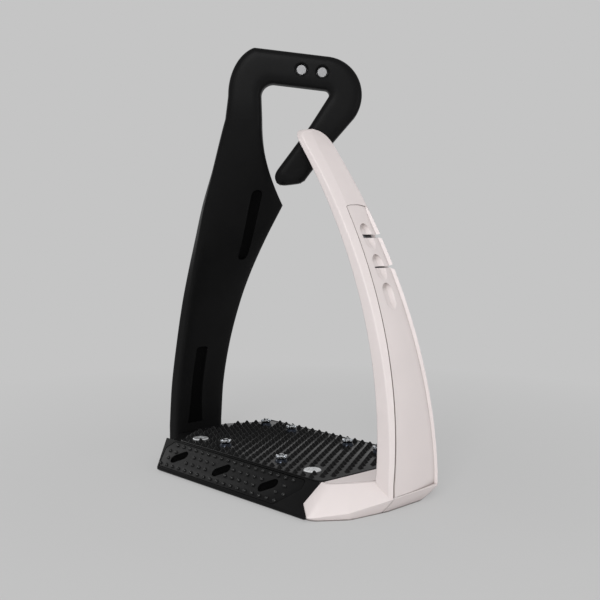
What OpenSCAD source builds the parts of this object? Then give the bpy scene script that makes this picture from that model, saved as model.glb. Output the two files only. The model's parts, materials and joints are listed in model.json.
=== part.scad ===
// Riding stirrup iron with a turned hook eye, a studded tread and a flexible outer arm.
// X runs from the inner branch to the outer arm, Y is the depth of the tread and Z is up.
// The origin lies on the floor below the middle of the tread.

/* [Base] */
// Height of the base from the floor to the flat of the tread
base_height = 12; // [10:0.1:15]
// Depth of the base over its front and rear lips
base_depth = 82; // [76:0.1:100]
// Depth of the flat tread
tread_depth = 58; // [54:0.1:64]

/* [Tread] */
// Spacing of the grip teeth along a row
tooth_pitch = 4.5; // [4.2:0.1:6]
// Height of a grip tooth
tooth_height = 1.7; // [1:0.1:2.2]
// Spacing of the studs along the tread
stud_pitch = 18; // [15:0.1:22]
// Distance of the two stud rows from the middle line
stud_row = 19.8; // [17:0.1:21.5]
// Diameter of a stud's crown
stud_d = 4.8; // [4:0.1:5.8]
// Diameter of a flat tread screw's head
screw_head_d = 8; // [6.6:0.1:9.6]

/* [Inner branch and eye] */
// Distance from the middle of the tread to the middle of the branch at its root
branch_reach = 65.5; // [62:0.1:79]
// Height of the eye's neck above the tread
neck_height = 141; // [125:0.5:170]
// Thickness of the inner branch at its root
branch_thick = 8; // [6.8:0.1:10]
// Thickness of the eye's bar from front to rear
eye_thick = 9.4; // [7.8:0.1:11.4]
// Angle that the eye is turned by about the upright
eye_turn = 45; // [40:1:50]
// Straight length of the eye's top bar
bar_len = 21.4; // [19:0.1:26]
// Straight length of the hook below the eye's far corner
hook_len = 41.8; // [35:0.1:43]
// Diameter of the two steel pins in the eye's top bar
eye_pin_d = 4.8; // [4:0.1:5.8]

/* [Outer arm] */
// Distance from the middle of the tread to the outer face of the arm at its root
arm_reach = 72.4; // [70:0.1:87]
// How far the arm's tip lies below the eye's neck
tip_drop = 5; // [3:0.5:12]
// Gap between the arm's free tip and the hook beside it
tip_gap = 0.5; // [0.4:0.1:2]
// Half width of the arm at its root
arm_root_half = 14.9; // [13:0.1:18]
// Half width of the arm near its tip
arm_tip_half = 8.2; // [7.4:0.1:9.8]
// Height above the tread where the arm starts to flex outwards
flex_height = 16; // [13:0.1:20]

/* [Hidden] */
$fn = 48;
fit = 0.15;
eps = 0.01;

matte_black = [0.09, 0.09, 0.095];
rubber_black = [0.16, 0.16, 0.165];
warm_white = [0.88, 0.84, 0.83];
bright_steel = [0.8, 0.81, 0.83];
dark_steel = [0.45, 0.46, 0.48];

// Heights in the base, measured from the floor
lip_bottom = 1.2;
lip_top = 2.4;
plate_thick = 1.8;
deck_bottom = 6;
pad_thick = 3;
deck_top = base_height - pad_thick;
strap_z = [3, 5.6];

// Depths in the base, measured from the middle line
lip_y = base_depth / 2;
lip_inset = 2;
edge_y = tread_depth / 2 + 0.6;
pad_y = tread_depth / 2 - 0.4;
slope_run = lip_y - edge_y;
slope_rise = base_height - lip_top;
slope_len = norm([slope_run, slope_rise]);
slope_angle = atan2(slope_rise, slope_run);

// Plan corners: the inner end, then the end where the white foot meets the base
root_half = 13;
root_gap = 0.5;
inner_end = branch_reach - branch_thick / 2 - root_gap;
inner_corner = [inner_end - 21, lip_y];
foot_corner = [arm_reach - 18.1, lip_y];
rear_corner = [arm_reach - 21.9, lip_y];
foot_point = [arm_reach - 23.9, lip_y - 4];
foot_shoulder = [arm_reach - 22.4, edge_y];
foot_middle = [arm_reach - 20.4, 0];
rear_point_back = 2;

// Studs and screws of the tread, with their nuts under the deck
stud_spots = [
  for (s = [-1, 1]) [s * stud_pitch, -stud_row],
  for (x = [-2, -1, 1, 2]) [x * stud_pitch, stud_row],
];
screw_spots = [for (s = [-1, 1]) [s * 2 * stud_pitch, -stud_row]];
stud_shank_d = 3;
stud_base_d = stud_d + 2.6;
stud_base_h = 1;
crown_h = 1.7;
crown_slot = [1.4, 0.8];
stud_nut = [5.5, 2.4];
screw_shank_d = 4;
screw_head_h = 1.4;
screw_head_sink = 1;
screw_key_d = 3.4;
screw_nut = [7, 3];
nut_slack = 0.1;

// Small screws that hold the cover, the strap and the leaf
small_d = 2.5;
small_hole_d = 3.1;
thread_slack = 0.1;
cap_d = 5;
cap_h = 1;
cap_key = [2, 0.7];
cone_h = 1.2;
cone_sink = 0.1;
cone_key = [1.8, 0.8];
cover_grip = 4;
boss_d = 6;
boss_spots = [
  for (sx = [-1, 1], sy = [-1, 1]) [sx * 1.5 * stud_pitch, sy * (stud_row + 1.2)],
];
core_screw_x = 20;
core_roof = 0.6;
core_end = 1;
core_spots = [for (s = [-1, 1]) [s * core_screw_x, 0]];

// Underside pocket round the nuts, and the strap in it
pocket_x = 2 * stud_pitch + 4.5;
pocket_y = stud_row + 5.7;
strap_half = 7;
strap_end = pocket_x - 4;
core_thick = 2.6;

// Grip pads on the front and rear slopes
grip_thick = 1.4;
grip_margin = 0.7;
grip_x = [-inner_corner[0] - 3.5, foot_shoulder[0] - 6.5];
grip_cut = 4;
grip_shoulder = 0.68;
grip_round = 1.6;
pit_d = 4.4;
pit_reach = 2.4;
pit_turn = 36;
pit_depth = 5;
pit_pitch = 29;
pit_middle = (grip_x[0] + grip_x[1]) / 2 - 2;
pit_x = [for (i = [-1 : 1]) pit_middle + i * pit_pitch];
bump_rows = 4;
bump_pitch = 4.4;
bump_height = 0.8;
bump_r = 1.1;
bump_edge = 3;

// Outer arm and its inlay, heights measured from the tread
arm_height = neck_height - tip_drop;
arm_bottom = -5;
arm_thick = [8.8, 4.6];
tip_len = 8;
panel_front = [2.6, 5];
panel_rear = 1.8;
panel_thick = 1.4;
panel_sink = 0.2;
panel_fit = 0.1;
panel_top = arm_height - 32;
panel_bottom = -4.6;
relief_z = [panel_top - 12, panel_top - 24, panel_top - 35];
slit_z = [relief_z[0], relief_z[1]];
relief_len = 9.8;
relief_w = 5.6;
relief_depth = 1;
relief_y = 1;
slit_w = 0.8;
slit_cut = 4;
notch_half = 2.2;
notch_depth = 2.4;

// Spring leaf, with the tongue and the clamp that hold its foot
leaf_half = 6;
leaf_thick = 1.2;
leaf_share = 0.6;
leaf_top = arm_height - 12;
leaf_end_gap = 0.5;
tongue_z = [1.6 - base_height, 4.5 - base_height];
tongue_half = 12;
tongue_x = [foot_shoulder[0] - 5, arm_reach - 9];
clamp_thick = 1.8;
clamp_z = tongue_z[1] + leaf_thick;
clamp_x = [arm_reach - 18.4, arm_reach - 6.9];
clamp_half = tongue_half - 0.4;
clamp_spots = [for (s = [-1, 1]) [arm_reach - 13.4, s * 9]];
clamp_room = 0.75;
foot_wall = 4.4;

// Inner branch: share of the neck's height, share of the way in, and Y of each edge
neck_u = -17.6;
neck_half = 7.8;
neck_back = 0.5;
rear_point = [-15.5, 11.5];
corner_share = 0.745;
corner_z = corner_share * neck_height;
neck_front = (neck_u - neck_back - neck_half) * [cos(eye_turn), sin(eye_turn)];
neck_rear = (neck_u - neck_back + neck_half) * [cos(eye_turn), sin(eye_turn)];
front_path = [
  [0, 0, -14], [0.14, 0.045, -14], [0.285, 0.145, -14.4], [0.425, 0.28, -15.6], [0.53, 0.415, -17.2],
  [0.64, 0.575, -19.2], [0.745, 0.71, -20.2], [0.85, 0.835, -19.6], [1, 1, neck_front[1]],
];
rear_path = [
  [0, 0, 14], [0.14, 0.042, 14], [0.285, 0.14, 14.4], [0.425, 0.295, 14.8], [0.53, 0.505, 13.1],
  [0.64, 0.775, 11], [corner_share, 1, rear_point[1]],
];
groove_z = [1, 38];
groove_half = [4.2, 3];
groove_flare = 12;
groove_end = 4;
groove_depth = 1;
pocket_mid = corner_z - 9;
pocket_reach = 16;
pocket_half = 2.4;
pocket_depth = 1.2;
pocket_from_edge = 6.5;

// Eye: a corner, a sloping bar, a second corner and the hook, in the plane of the eye
shoulder_z = neck_height + 9.7;
corner_r = 12;
hook_r = 9;
neck_heading = 90;
bar_heading = -7;
hook_heading = -127;
bar_half = 7;
corner_out = 2.6;
corner_skew = 1.87;
hook_half = 6;
hook_trim = 1.4;
pin_along = [bar_len - 10.7, bar_len - 1.9];
pin_sink = 1.2;

// Curve helpers
function mix(a, b, t) = a + (b - a) * t;
function span(a, b, n) = [for (i = [0 : n]) mix(a, b, i / n)];
function unit(v) = v / norm(v);
function sgn_pow(v, p) = sign(v) * pow(abs(v), p);
function tip_round(t) = pow(max(1 - pow(t, 3), 0.002), 0.4);
function clear_of(p, spots, gap) = min([for (s = spots) norm(p - s)]) > gap;
function row_of(t, s) = max([for (i = [0 : len(t) - 2]) if (t[i][0] <= s || i == 0) i]);
function slope_of(t, i) =
  let (a = max(i - 1, 0), b = min(i + 1, len(t) - 1))
  [for (k = [1, 2]) (t[b][k] - t[a][k]) / (t[b][0] - t[a][0])];
function ends_of(t, i) = [t[i][1], t[i][2]];

// Smooth curve through the rows of a path
function along(t, s) =
  let (i = row_of(t, s), h = t[i + 1][0] - t[i][0], w = (s - t[i][0]) / h)
  ends_of(t, i) * (1 + 2 * w) * (1 - w) * (1 - w) + slope_of(t, i) * h * w * (1 - w) * (1 - w)
  + ends_of(t, i + 1) * w * w * (3 - 2 * w) + slope_of(t, i + 1) * h * w * w * (w - 1);

// Rounded box section about a centre, squarer as the power grows
function section(c, wide, thick, a, b, power = 5, n = 16) =
  [for (i = [0 : n - 1]) let (t = (i + 0.5) * 360 / n)
    c + wide * a * sgn_pow(cos(t), 2 / power) + thick * b * sgn_pow(sin(t), 2 / power)];

// Solid through a row of convex sections
module loft(rings) {
  every = [for (k = [0 : 2 * len(rings[0]) - 1]) k];
  for (i = [0 : len(rings) - 2])
    hull() polyhedron(points = concat(rings[i], rings[i + 1]), faces = [every]);
}

// Outline with its corners rounded
function rounded(pts, r, n = 5) =
  [for (i = [0 : len(pts) - 1])
    let (p = pts[i], q = pts[(i + len(pts) - 1) % len(pts)], s = pts[(i + 1) % len(pts)],
         a = unit(q - p), b = unit(s - p), half = acos(a * b) / 2, reach = r / tan(half),
         c = p + unit(a + b) * r / sin(half), from = p + a * reach - c, to = p + b * reach - c)
    for (t = span(0, 1, n)) c + unit(mix(from, to, t)) * r];

function mirrored(pts) = concat(pts, [for (i = [len(pts) - 1 : -1 : 0]) [-pts[i][0], pts[i][1]]]);

module on_tread() { translate([0, 0, base_height]) children(); }
module at_each(spots) { for (p = spots) translate([p[0], p[1], 0]) children(); }
module both_sides() {
  children();
  mirror([0, 1, 0]) children();
}

// Places a shape lying on the front slope: X along the tread, Y up the slope, Z out of it
module on_front_slope() {
  translate([0, -lip_y, lip_top]) rotate([slope_angle, 0, 0]) children();
}

module hex_nut(size, bore) {
  difference() {
    cylinder(d = size[0] / cos(30), h = size[1], $fn = 6);
    translate([0, 0, -1]) cylinder(d = bore, h = size[1] + 2);
  }
}

// Screw with its head below the origin and its shank upwards
module cap_screw(shank) {
  difference() {
    union() {
      translate([0, 0, -cap_h]) cylinder(d = cap_d, h = cap_h);
      translate([0, 0, -cap_h]) cylinder(d = small_d - thread_slack, h = shank + cap_h);
    }
    translate([0, 0, -cap_h - eps]) cylinder(d = cap_key[0], h = cap_key[1] + eps, $fn = 6);
  }
}

// Base
base_end = [
  [foot_corner[0], -foot_corner[1]], [foot_point[0], -foot_point[1]],
  [foot_shoulder[0], -foot_shoulder[1]], foot_middle, foot_shoulder,
  [foot_point[0] - rear_point_back, foot_point[1]], rear_corner,
];
base_plan = concat(
  [[-inner_corner[0], -inner_corner[1]]], base_end,
  [[-inner_corner[0], inner_corner[1]], [-inner_end, root_half], [-inner_end, -root_half]]
);
base_profile = mirrored([
  [lip_y - lip_inset, 0], [lip_y, lip_bottom], [lip_y, lip_top], [edge_y, base_height],
  [pad_y, base_height], [pad_y, deck_top],
]);

module grip_outline(grow = 0) {
  bottom = grip_margin - grow;
  top = slope_len - grip_margin + grow;
  left = grip_x[0] - grow;
  right = grip_x[1] + grow;
  middle = mix(bottom, top, grip_shoulder);
  polygon(rounded([
    [left + grip_cut, bottom], [right - 2 * grip_cut, bottom], [right, middle],
    [right - 0.5, top], [left + 0.7 * grip_cut, top], [left, middle],
  ], grip_round));
}

pit_outline = [
  for (s = [-1, 1], a = [-90 : 15 : 90]) s * [pit_reach + pit_d / 2 * cos(a), pit_d / 2 * sin(a)],
];

module grip_pits(h) {
  for (x = pit_x) translate([x, slope_len / 2, -pit_depth]) rotate([0, 0, pit_turn])
    linear_extrude(h) polygon(pit_outline);
}

module strap_channel(from, to) {
  translate([from, -strap_half - fit, strap_z[0] - fit])
    cube([to - from, 2 * (strap_half + fit), strap_z[1] - strap_z[0] + 2 * fit]);
}

module base_frame() {
  color(matte_black) difference() {
    union() {
      intersection() {
        rotate([90, 0, 90]) translate([0, 0, -branch_reach])
          linear_extrude(branch_reach + arm_reach) polygon(base_profile);
        linear_extrude(base_height) polygon(base_plan);
      }
      translate([tongue_x[0], -tongue_half, base_height + tongue_z[0]])
        cube([tongue_x[1] - tongue_x[0], 2 * tongue_half, tongue_z[1] - tongue_z[0]]);
    }
    difference() {
      translate([-pocket_x, -pocket_y, -1]) cube([2 * pocket_x, 2 * pocket_y, deck_bottom + 1]);
      at_each(boss_spots) translate([0, 0, plate_thick]) cylinder(d = boss_d, h = deck_bottom);
    }
    strap_channel(-branch_reach, -pocket_x + 1);
    at_each(stud_spots) cylinder(d = stud_shank_d + 2 * fit, h = base_height);
    at_each(screw_spots) cylinder(d = screw_shank_d + 2 * fit, h = base_height);
    at_each(boss_spots) cylinder(d = small_d, h = deck_bottom + 1);
    at_each(core_spots) cylinder(d = small_d, h = deck_top - core_roof);
    at_each(clamp_spots) cylinder(d = small_d, h = base_height);
    both_sides() on_front_slope() {
      translate([0, 0, -grip_thick]) linear_extrude(grip_thick + 1) grip_outline(fit);
      grip_pits(pit_depth);
    }
  }
}

module bottom_plate() {
  color(matte_black) difference() {
    translate([-pocket_x + fit, -pocket_y + fit, 0])
      cube([2 * (pocket_x - fit), 2 * (pocket_y - fit), plate_thick]);
    at_each(boss_spots) {
      translate([0, 0, -1]) cylinder(d = small_hole_d, h = plate_thick + 2);
      translate([0, 0, -eps]) cylinder(d1 = cap_d + 0.4, d2 = small_hole_d, h = cone_h + 2 * cone_sink);
    }
  }
}

module bottom_screws() {
  color(dark_steel) at_each(boss_spots) difference() {
    translate([0, 0, cone_sink]) {
      cylinder(d1 = cap_d, d2 = small_d, h = cone_h);
      cylinder(d = small_d - thread_slack, h = cone_h + cover_grip);
    }
    translate([0, 0, -eps]) cylinder(d = cone_key[0], h = cone_key[1], $fn = 6);
  }
}

// Inner branch: sections of the twisting blade, then of the eye's bar and its hook
function front_at(z) =
  let (v = along(front_path, max(z, 0) / neck_height)) [mix(-branch_reach, neck_front[0], v[0]), v[1]];
function low_rear_at(z) =
  let (v = along(rear_path, max(z, 0) / neck_height)) [mix(-branch_reach, rear_point[0], v[0]), v[1]];
function high_rear_at(z) =
  let (left = 1 - (z - corner_z) / (neck_height - corner_z))
  [mix(neck_rear[0], rear_point[0], pow(left, 1.4)), mix(neck_rear[1], rear_point[1], pow(left, 1.8))];
function rear_at(z) = z <= corner_z ? low_rear_at(z) : high_rear_at(z);
function blade_frame(z) =
  let (f = front_at(z), r = rear_at(z), w = unit(r - f), c = (f + r) / 2)
  [[c[0], c[1], z], [w[0], w[1], 0], [w[1], -w[0], 0], norm(r - f) / 2];
function blade_turn(z) = pow(max(z, 0) / neck_height, 2);
function blade_thick(z) = mix(branch_thick, eye_thick, blade_turn(z));
function blade_ring(z) =
  let (f = blade_frame(z))
  section(f[0], f[1], f[2], f[3], blade_thick(z) / 2, mix(6, 3, blade_turn(z)));
function core_ring(z, grow = 0) =
  let (f = blade_frame(z)) section(f[0], f[1], f[2], f[3] / 2 + grow, core_thick / 2 + grow, 12, 8);

eye_across = [cos(eye_turn), sin(eye_turn), 0];
eye_out = [sin(eye_turn), -cos(eye_turn), 0];
function heading(h) = [cos(h), sin(h)];
function left_of(h) = [-sin(h), cos(h)];
function in_eye(p) = eye_across * p[0] + [0, 0, p[1]];

turn_one = [neck_u + corner_r, shoulder_z];
bar_from = turn_one + corner_r * left_of(bar_heading);
bar_to = bar_from + bar_len * heading(bar_heading);
turn_two = bar_to - hook_r * left_of(bar_heading);
hook_from = turn_two + hook_r * left_of(hook_heading);
hook_to = hook_from + hook_len * heading(hook_heading);

function eye_ring(p, h, half, thick) =
  section(in_eye(p), in_eye(left_of(h)), eye_out, half, thick / 2, 3.2);
function corner_swell(h) = min(
  corner_out * sin(180 * pow((neck_heading - h) / (neck_heading - bar_heading), corner_skew)),
  (corner_r + bar_half) * (1 / max(cos(h - bar_heading), 0.1) - 1));

// The first corner swells on its outside alone, out to the line of the bar's top
first_corner = [for (h = span(neck_heading, bar_heading, 11)) let (swell = corner_swell(h) / 2)
  eye_ring(turn_one + (corner_r + swell) * left_of(h), h, bar_half + swell, eye_thick)];
second_corner = [for (h = span(bar_heading, hook_heading, 10))
  eye_ring(turn_two + hook_r * left_of(h), h, bar_half, eye_thick)];
tip_from = 0.85;
hook_rings = [for (t = span(0.15, tip_from, 3))
  eye_ring(mix(hook_from, hook_to, t), hook_heading, mix(bar_half, hook_half, min(1, 3 * t)), eye_thick)];
hook_tip = [for (t = span(0.3, 1, 4))
  eye_ring(mix(hook_from, hook_to, mix(tip_from, 1, t)), hook_heading,
           hook_half * tip_round(t), eye_thick * tip_round(t))];
eye_rings = concat(first_corner, second_corner, hook_rings, hook_tip);

blade_rings = [
  for (z = concat(span(-base_height, corner_z, 18), span(corner_z + 3, neck_height, 6))) blade_ring(z),
];
core_heights = concat([strap_z[0] - base_height], span(0, neck_height - 2, 14));

// Long relief down the middle of the inner face, wider at its foot
groove_rings = [for (z = span(groove_z[0], groove_z[1], 8))
  let (f = blade_frame(z), flare = min(1, (z - groove_z[0]) / groove_flare),
       end = tip_round(max(0, (z - groove_z[1] + groove_end) / groove_end)))
  section(f[0] + f[2] * blade_thick(z) / 2, f[1], f[2],
          mix(groove_half[0], groove_half[1], flare) * end, groove_depth, 4, 8)];

// Slanted relief along the rear edge below the eye
pocket_rings = [for (z = span(pocket_mid - pocket_reach, pocket_mid + pocket_reach, 7))
  let (f = blade_frame(z), end = tip_round(abs(z - pocket_mid) / (pocket_reach + 0.2)))
  section(f[0] + f[1] * (f[3] - pocket_from_edge) + f[2] * blade_thick(z) / 2, f[1], f[2],
          pocket_half * end, pocket_depth, 4, 8)];

module at_eye_pins() {
  for (a = pin_along) translate(in_eye(bar_from + a * heading(bar_heading)))
    rotate([90, 0, eye_turn]) children();
}

module inner_branch() {
  color(matte_black) difference() {
    on_tread() difference() {
      union() {
        loft(blade_rings);
        loft(concat([blade_ring(neck_height)], eye_rings));
      }
      loft([for (z = core_heights) core_ring(z, fit)]);
      loft(groove_rings);
      loft(pocket_rings);
      at_eye_pins() cylinder(d = eye_pin_d + 2 * fit, h = 2 * eye_thick, center = true);
      rotate([0, 0, eye_turn]) translate([hook_to[0] - 4, -eye_thick, hook_to[1] + hook_trim - 20])
        cube([30, 2 * eye_thick, 20]);
    }
    strap_channel(-branch_reach, -inner_end + 1);
  }
}

module eye_pins() {
  color(bright_steel) on_tread() at_eye_pins()
    cylinder(d = eye_pin_d, h = eye_thick - 2 * pin_sink, center = true);
}

module steel_core() {
  color(dark_steel) difference() {
    union() {
      on_tread() loft([for (z = core_heights) core_ring(z)]);
      translate([-branch_reach, -strap_half, strap_z[0]])
        cube([branch_reach + strap_end, 2 * strap_half, strap_z[1] - strap_z[0]]);
    }
    at_each(core_spots) cylinder(d = small_hole_d, h = base_height);
  }
}

module core_screws() {
  color(dark_steel) at_each(core_spots) translate([0, 0, strap_z[0]])
    cap_screw(deck_top - core_end - strap_z[0]);
}

// Tread
pad_end = inner_end - 9;
pad_end_half = root_half - 5;
pad_fit_x = 0.6;
tread_plan = rounded([
  [-inner_corner[0], -pad_y + fit], [foot_shoulder[0] - pad_fit_x, -pad_y + fit],
  [foot_middle[0] - pad_fit_x, 0], [foot_shoulder[0] - pad_fit_x, pad_y - fit],
  [-inner_corner[0], pad_y - fit], [-pad_end, pad_end_half], [-pad_end, -pad_end_half],
], 4);
tooth_r = 0.3 * tooth_pitch;
tooth_edge = 1.8;
tooth_row = tooth_pitch * sin(60);
tooth_rows = floor((pad_y - tooth_edge) / tooth_row);
tooth_cols = ceil(max(inner_end, arm_reach) / tooth_pitch);
stud_clear = stud_base_d / 2 + tooth_r;
screw_clear = screw_head_d / 2 + tooth_r;
function tooth_limit(y) = mix(pad_end, inner_corner[0], pow(abs(y) / pad_y, 2)) - 2.5;
tooth_spots = [
  for (r = [-tooth_rows : tooth_rows], i = [-tooth_cols : tooth_cols])
    let (p = [(i + (abs(r) % 2) / 2) * tooth_pitch, r * tooth_row])
    if (p[0] > -tooth_limit(p[1]) && p[0] < foot_shoulder[0] - 2
        && clear_of(p, stud_spots, stud_clear) && clear_of(p, screw_spots, screw_clear)) p,
];

module tooth(r, h) { hull() cylinder(r1 = r, r2 = 0, h = h, $fn = 4); }

module tread_pad() {
  color(rubber_black) difference() {
    union() {
      translate([0, 0, deck_top]) linear_extrude(pad_thick) polygon(tread_plan);
      at_each(tooth_spots) translate([0, 0, base_height - eps]) tooth(tooth_r, tooth_height + eps);
    }
    at_each(stud_spots) cylinder(d = stud_shank_d + 2 * fit, h = 2 * base_height);
    at_each(screw_spots) {
      cylinder(d = screw_shank_d + 2 * fit, h = 2 * base_height);
      translate([0, 0, base_height - screw_head_sink])
        cylinder(d = screw_head_d + 2 * fit, h = base_height);
    }
  }
}

module tread_studs() {
  shank_from = deck_bottom - stud_nut[1];
  crown_top = base_height + stud_base_h + crown_h;
  color(bright_steel) at_each(stud_spots) difference() {
    union() {
      translate([0, 0, shank_from]) cylinder(d = stud_shank_d, h = base_height - shank_from);
      translate([0, 0, base_height]) cylinder(d1 = stud_base_d, d2 = stud_d + 0.6, h = stud_base_h);
      translate([0, 0, base_height + stud_base_h]) cylinder(d = stud_d, h = crown_h);
    }
    for (a = [0, 90]) rotate([0, 0, a]) translate([-stud_d, -crown_slot[0] / 2, crown_top - crown_slot[1]])
      cube([2 * stud_d, crown_slot[0], 2 * crown_slot[1]]);
  }
}

module stud_nuts() {
  color(dark_steel) at_each(stud_spots) translate([0, 0, deck_bottom - stud_nut[1]])
    hex_nut(stud_nut, stud_shank_d + nut_slack);
}

module tread_screws() {
  shank_from = deck_bottom - screw_nut[1];
  head_from = base_height - screw_head_sink;
  color(bright_steel) at_each(screw_spots) difference() {
    union() {
      translate([0, 0, shank_from]) cylinder(d = screw_shank_d, h = base_height - shank_from);
      translate([0, 0, head_from]) cylinder(d = screw_head_d, h = screw_head_h);
    }
    translate([0, 0, head_from + 0.2]) cylinder(d = screw_key_d, h = 2 * screw_head_h, $fn = 6);
  }
}

module screw_nuts() {
  color(dark_steel) at_each(screw_spots) translate([0, 0, deck_bottom - screw_nut[1]])
    hex_nut(screw_nut, screw_shank_d + nut_slack);
}

module grip_pad() {
  row_from = grip_margin + 1.5;
  row_step = (slope_len - 2 * row_from) / (bump_rows - 1);
  bump_cols = ceil(max(-grip_x[0], grip_x[1]) / bump_pitch);
  pit_step = pit_reach * [cos(pit_turn), sin(pit_turn)];
  pit_spots = [for (x = pit_x, s = [-1 : 1]) [x, slope_len / 2] + s * pit_step];
  on_front_slope() difference() {
    union() {
      translate([0, 0, -grip_thick]) linear_extrude(grip_thick) grip_outline();
      for (r = [0 : bump_rows - 1], i = [-bump_cols : bump_cols]) {
        p = [(i + (r % 2) / 2) * bump_pitch, row_from + r * row_step];
        end_cut = grip_cut * (bump_rows - 1 - r) / bump_rows;
        inside = p[0] > grip_x[0] + bump_edge && p[0] < grip_x[1] - bump_edge - end_cut;
        if (inside && clear_of(p, pit_spots, pit_d / 2 + bump_r))
          translate([p[0], p[1], -eps]) tooth(bump_r, bump_height);
      }
    }
    grip_pits(2 * pit_depth);
  }
}

module front_grip_pad() { color(rubber_black) grip_pad(); }
module rear_grip_pad() { color(rubber_black) mirror([0, 1, 0]) grip_pad(); }

// Outer arm: it leans in until its free tip lies a small gap from the hook
function arm_half(z) = arm_tip_half
  + (arm_root_half - arm_tip_half) * pow(1 - min(max(z, 0), arm_height) / arm_height, 1.5);
function arm_depth(z) = mix(arm_thick[0], arm_thick[1], max(z, 0) / arm_height);
eye_skin = [
  for (i = [0 : len(eye_rings) - 2], k = [0 : len(eye_rings[0]) - 1], a = [0 : 0.25 : 0.75], b = [0, 0.5])
    let (m = (k + 1) % len(eye_rings[0]))
    mix(mix(eye_rings[i][k], eye_rings[i][m], a), mix(eye_rings[i + 1][k], eye_rings[i + 1][m], a), b),
];
arm_lean = min([for (p = eye_skin)
  if (p[2] <= arm_height && abs(p[1]) < arm_half(p[2]) + tip_gap)
    (arm_reach - arm_depth(p[2]) - tip_gap - p[0]) / pow(p[2] / arm_height, 2)]);
function arm_outer(z) = arm_reach - arm_lean * pow(max(z, 0) / arm_height, 2);
function arm_tip(z) = tip_round(max(0, (z - arm_height + tip_len) / tip_len));
function arm_ring(z) =
  section([arm_outer(z) - arm_depth(z) / 2, 0, z], [0, 1, 0], [1, 0, 0],
          arm_half(z) * arm_tip(z), arm_depth(z) / 2, 6);
function panel_slice(z, outer, inner, grow) =
  let (front = mix(panel_front[0], panel_front[1], max(z, 0) / panel_top),
       half = arm_half(z) - (front + panel_rear) / 2, mid = (front - panel_rear) / 2)
  section([arm_outer(z) - (outer + inner) / 2, mid, z], [0, 1, 0], [1, 0, 0],
          half + grow, (inner - outer) / 2, 12, 8);
function panel_ring(z) = panel_slice(z, panel_sink, panel_sink + panel_thick, 0);
function panel_room(z) = panel_slice(z, -1, panel_sink + panel_thick + panel_fit, panel_fit);
function leaf_x(z) = arm_outer(z) - leaf_share * arm_depth(z);
function leaf_ring(z, grow = 0) =
  section([leaf_x(z), 0, z], [0, 1, 0], [1, 0, 0],
          min(leaf_half, arm_half(z) - 3) + grow, leaf_thick / 2 + grow, 12, 8);

// Two slits run from the reliefs out through the rear edge of the arm
module slit_at(z) {
  translate([arm_outer(z) - slit_cut, relief_y, z - slit_w / 2]) cube([2 * slit_cut, 20, slit_w]);
}

module edge_notch_at(z) {
  translate([arm_outer(z) - slit_cut, arm_half(z), z]) rotate([0, 90, 0]) linear_extrude(2 * slit_cut)
    polygon([[0, -notch_depth], [-notch_half, 1], [notch_half, 1]]);
}

// Foot: outlines of its top, its edge and its bottom; the edge climbs from the lips to the arm.
// Each row holds the end's X, the lip's Y, half the end's width, then the front and rear side corners
foot_x = foot_shoulder[0] - 10;
foot_top = [arm_reach - 8.6, edge_y - 0.4, 14, [arm_reach - 13, -22], [arm_reach - 14.6, 22]];
foot_edge = [arm_reach - 0.3, lip_y, 14, [arm_reach - 8.4, -28.6], [arm_reach - 10.6, 25.6]];
foot_low = [arm_reach - 6, lip_y - lip_inset - 0.8, 10, [arm_reach - 9.4, -27], [arm_reach - 10.4, 23]];
foot_round = 5;
edge_low = lip_top - base_height - 0.6;
edge_climb = 5.2;
edge_bow = 2.2;
function climb(x) =
  edge_climb * pow(max(0, (x - foot_corner[0]) / (foot_edge[0] - foot_corner[0])), edge_bow);
function foot_plan(r) =
  rounded([[foot_x, -r[1]], [foot_corner[0], -r[1]], r[3], [r[0], -r[2]], [r[0], r[2]], r[4],
           [rear_corner[0], r[1]], [foot_x, r[1]]], foot_round);
foot_rings = [
  [for (p = foot_plan(foot_top)) [p[0], p[1], 0]],
  [for (p = foot_plan(foot_edge)) [p[0], p[1], edge_low + climb(p[0])]],
  [for (p = foot_plan(foot_low)) [p[0], p[1], -base_height]],
];

module outer_foot() {
  past = 2 * lip_y;
  base_cut = concat(
    [[0, -past], [foot_corner[0] + fit, -past]], [for (p = base_end) [p[0] + fit, p[1]]],
    [[rear_corner[0] + fit, past], [0, past]]
  );
  room_top = clamp_z + clamp_thick + cap_h + clamp_room;
  color(warm_white) on_tread() difference() {
    union() {
      loft(foot_rings);
      loft([for (z = span(arm_bottom, flex_height, 6)) arm_ring(z)]);
    }
    translate([0, 0, -2 * base_height]) linear_extrude(3 * base_height) polygon(base_cut);
    translate([foot_x, -tongue_half - fit, tongue_z[0] - fit])
      cube([tongue_x[1] + fit - foot_x, 2 * (tongue_half + fit), room_top - tongue_z[0] + fit]);
    translate([foot_x, -tongue_half - fit, tongue_z[1]])
      cube([arm_reach - foot_wall - foot_x, 2 * (tongue_half + fit), room_top - tongue_z[1]]);
    loft([for (z = span(tongue_z[1], flex_height + 1, 5)) leaf_ring(z, fit)]);
    loft([for (z = span(panel_bottom, flex_height + 1, 5)) panel_room(z)]);
  }
}

module foot_panel() {
  color(warm_white) on_tread()
    loft([for (z = span(panel_bottom + panel_fit, flex_height, 5)) panel_ring(z)]);
}

module arm_shell() {
  body_z = span(flex_height, arm_height - tip_len, 16);
  tip_z = span(arm_height - 0.75 * tip_len, arm_height, 4);
  color(warm_white) on_tread() difference() {
    loft([for (z = concat(body_z, tip_z)) arm_ring(z)]);
    loft([for (z = span(flex_height - 1, leaf_top + leaf_end_gap, 16)) leaf_ring(z, fit)]);
    loft([for (z = span(flex_height - 1, panel_top + panel_fit, 14)) panel_room(z)]);
    for (z = slit_z) {
      slit_at(z);
      edge_notch_at(z);
    }
  }
}

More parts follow.
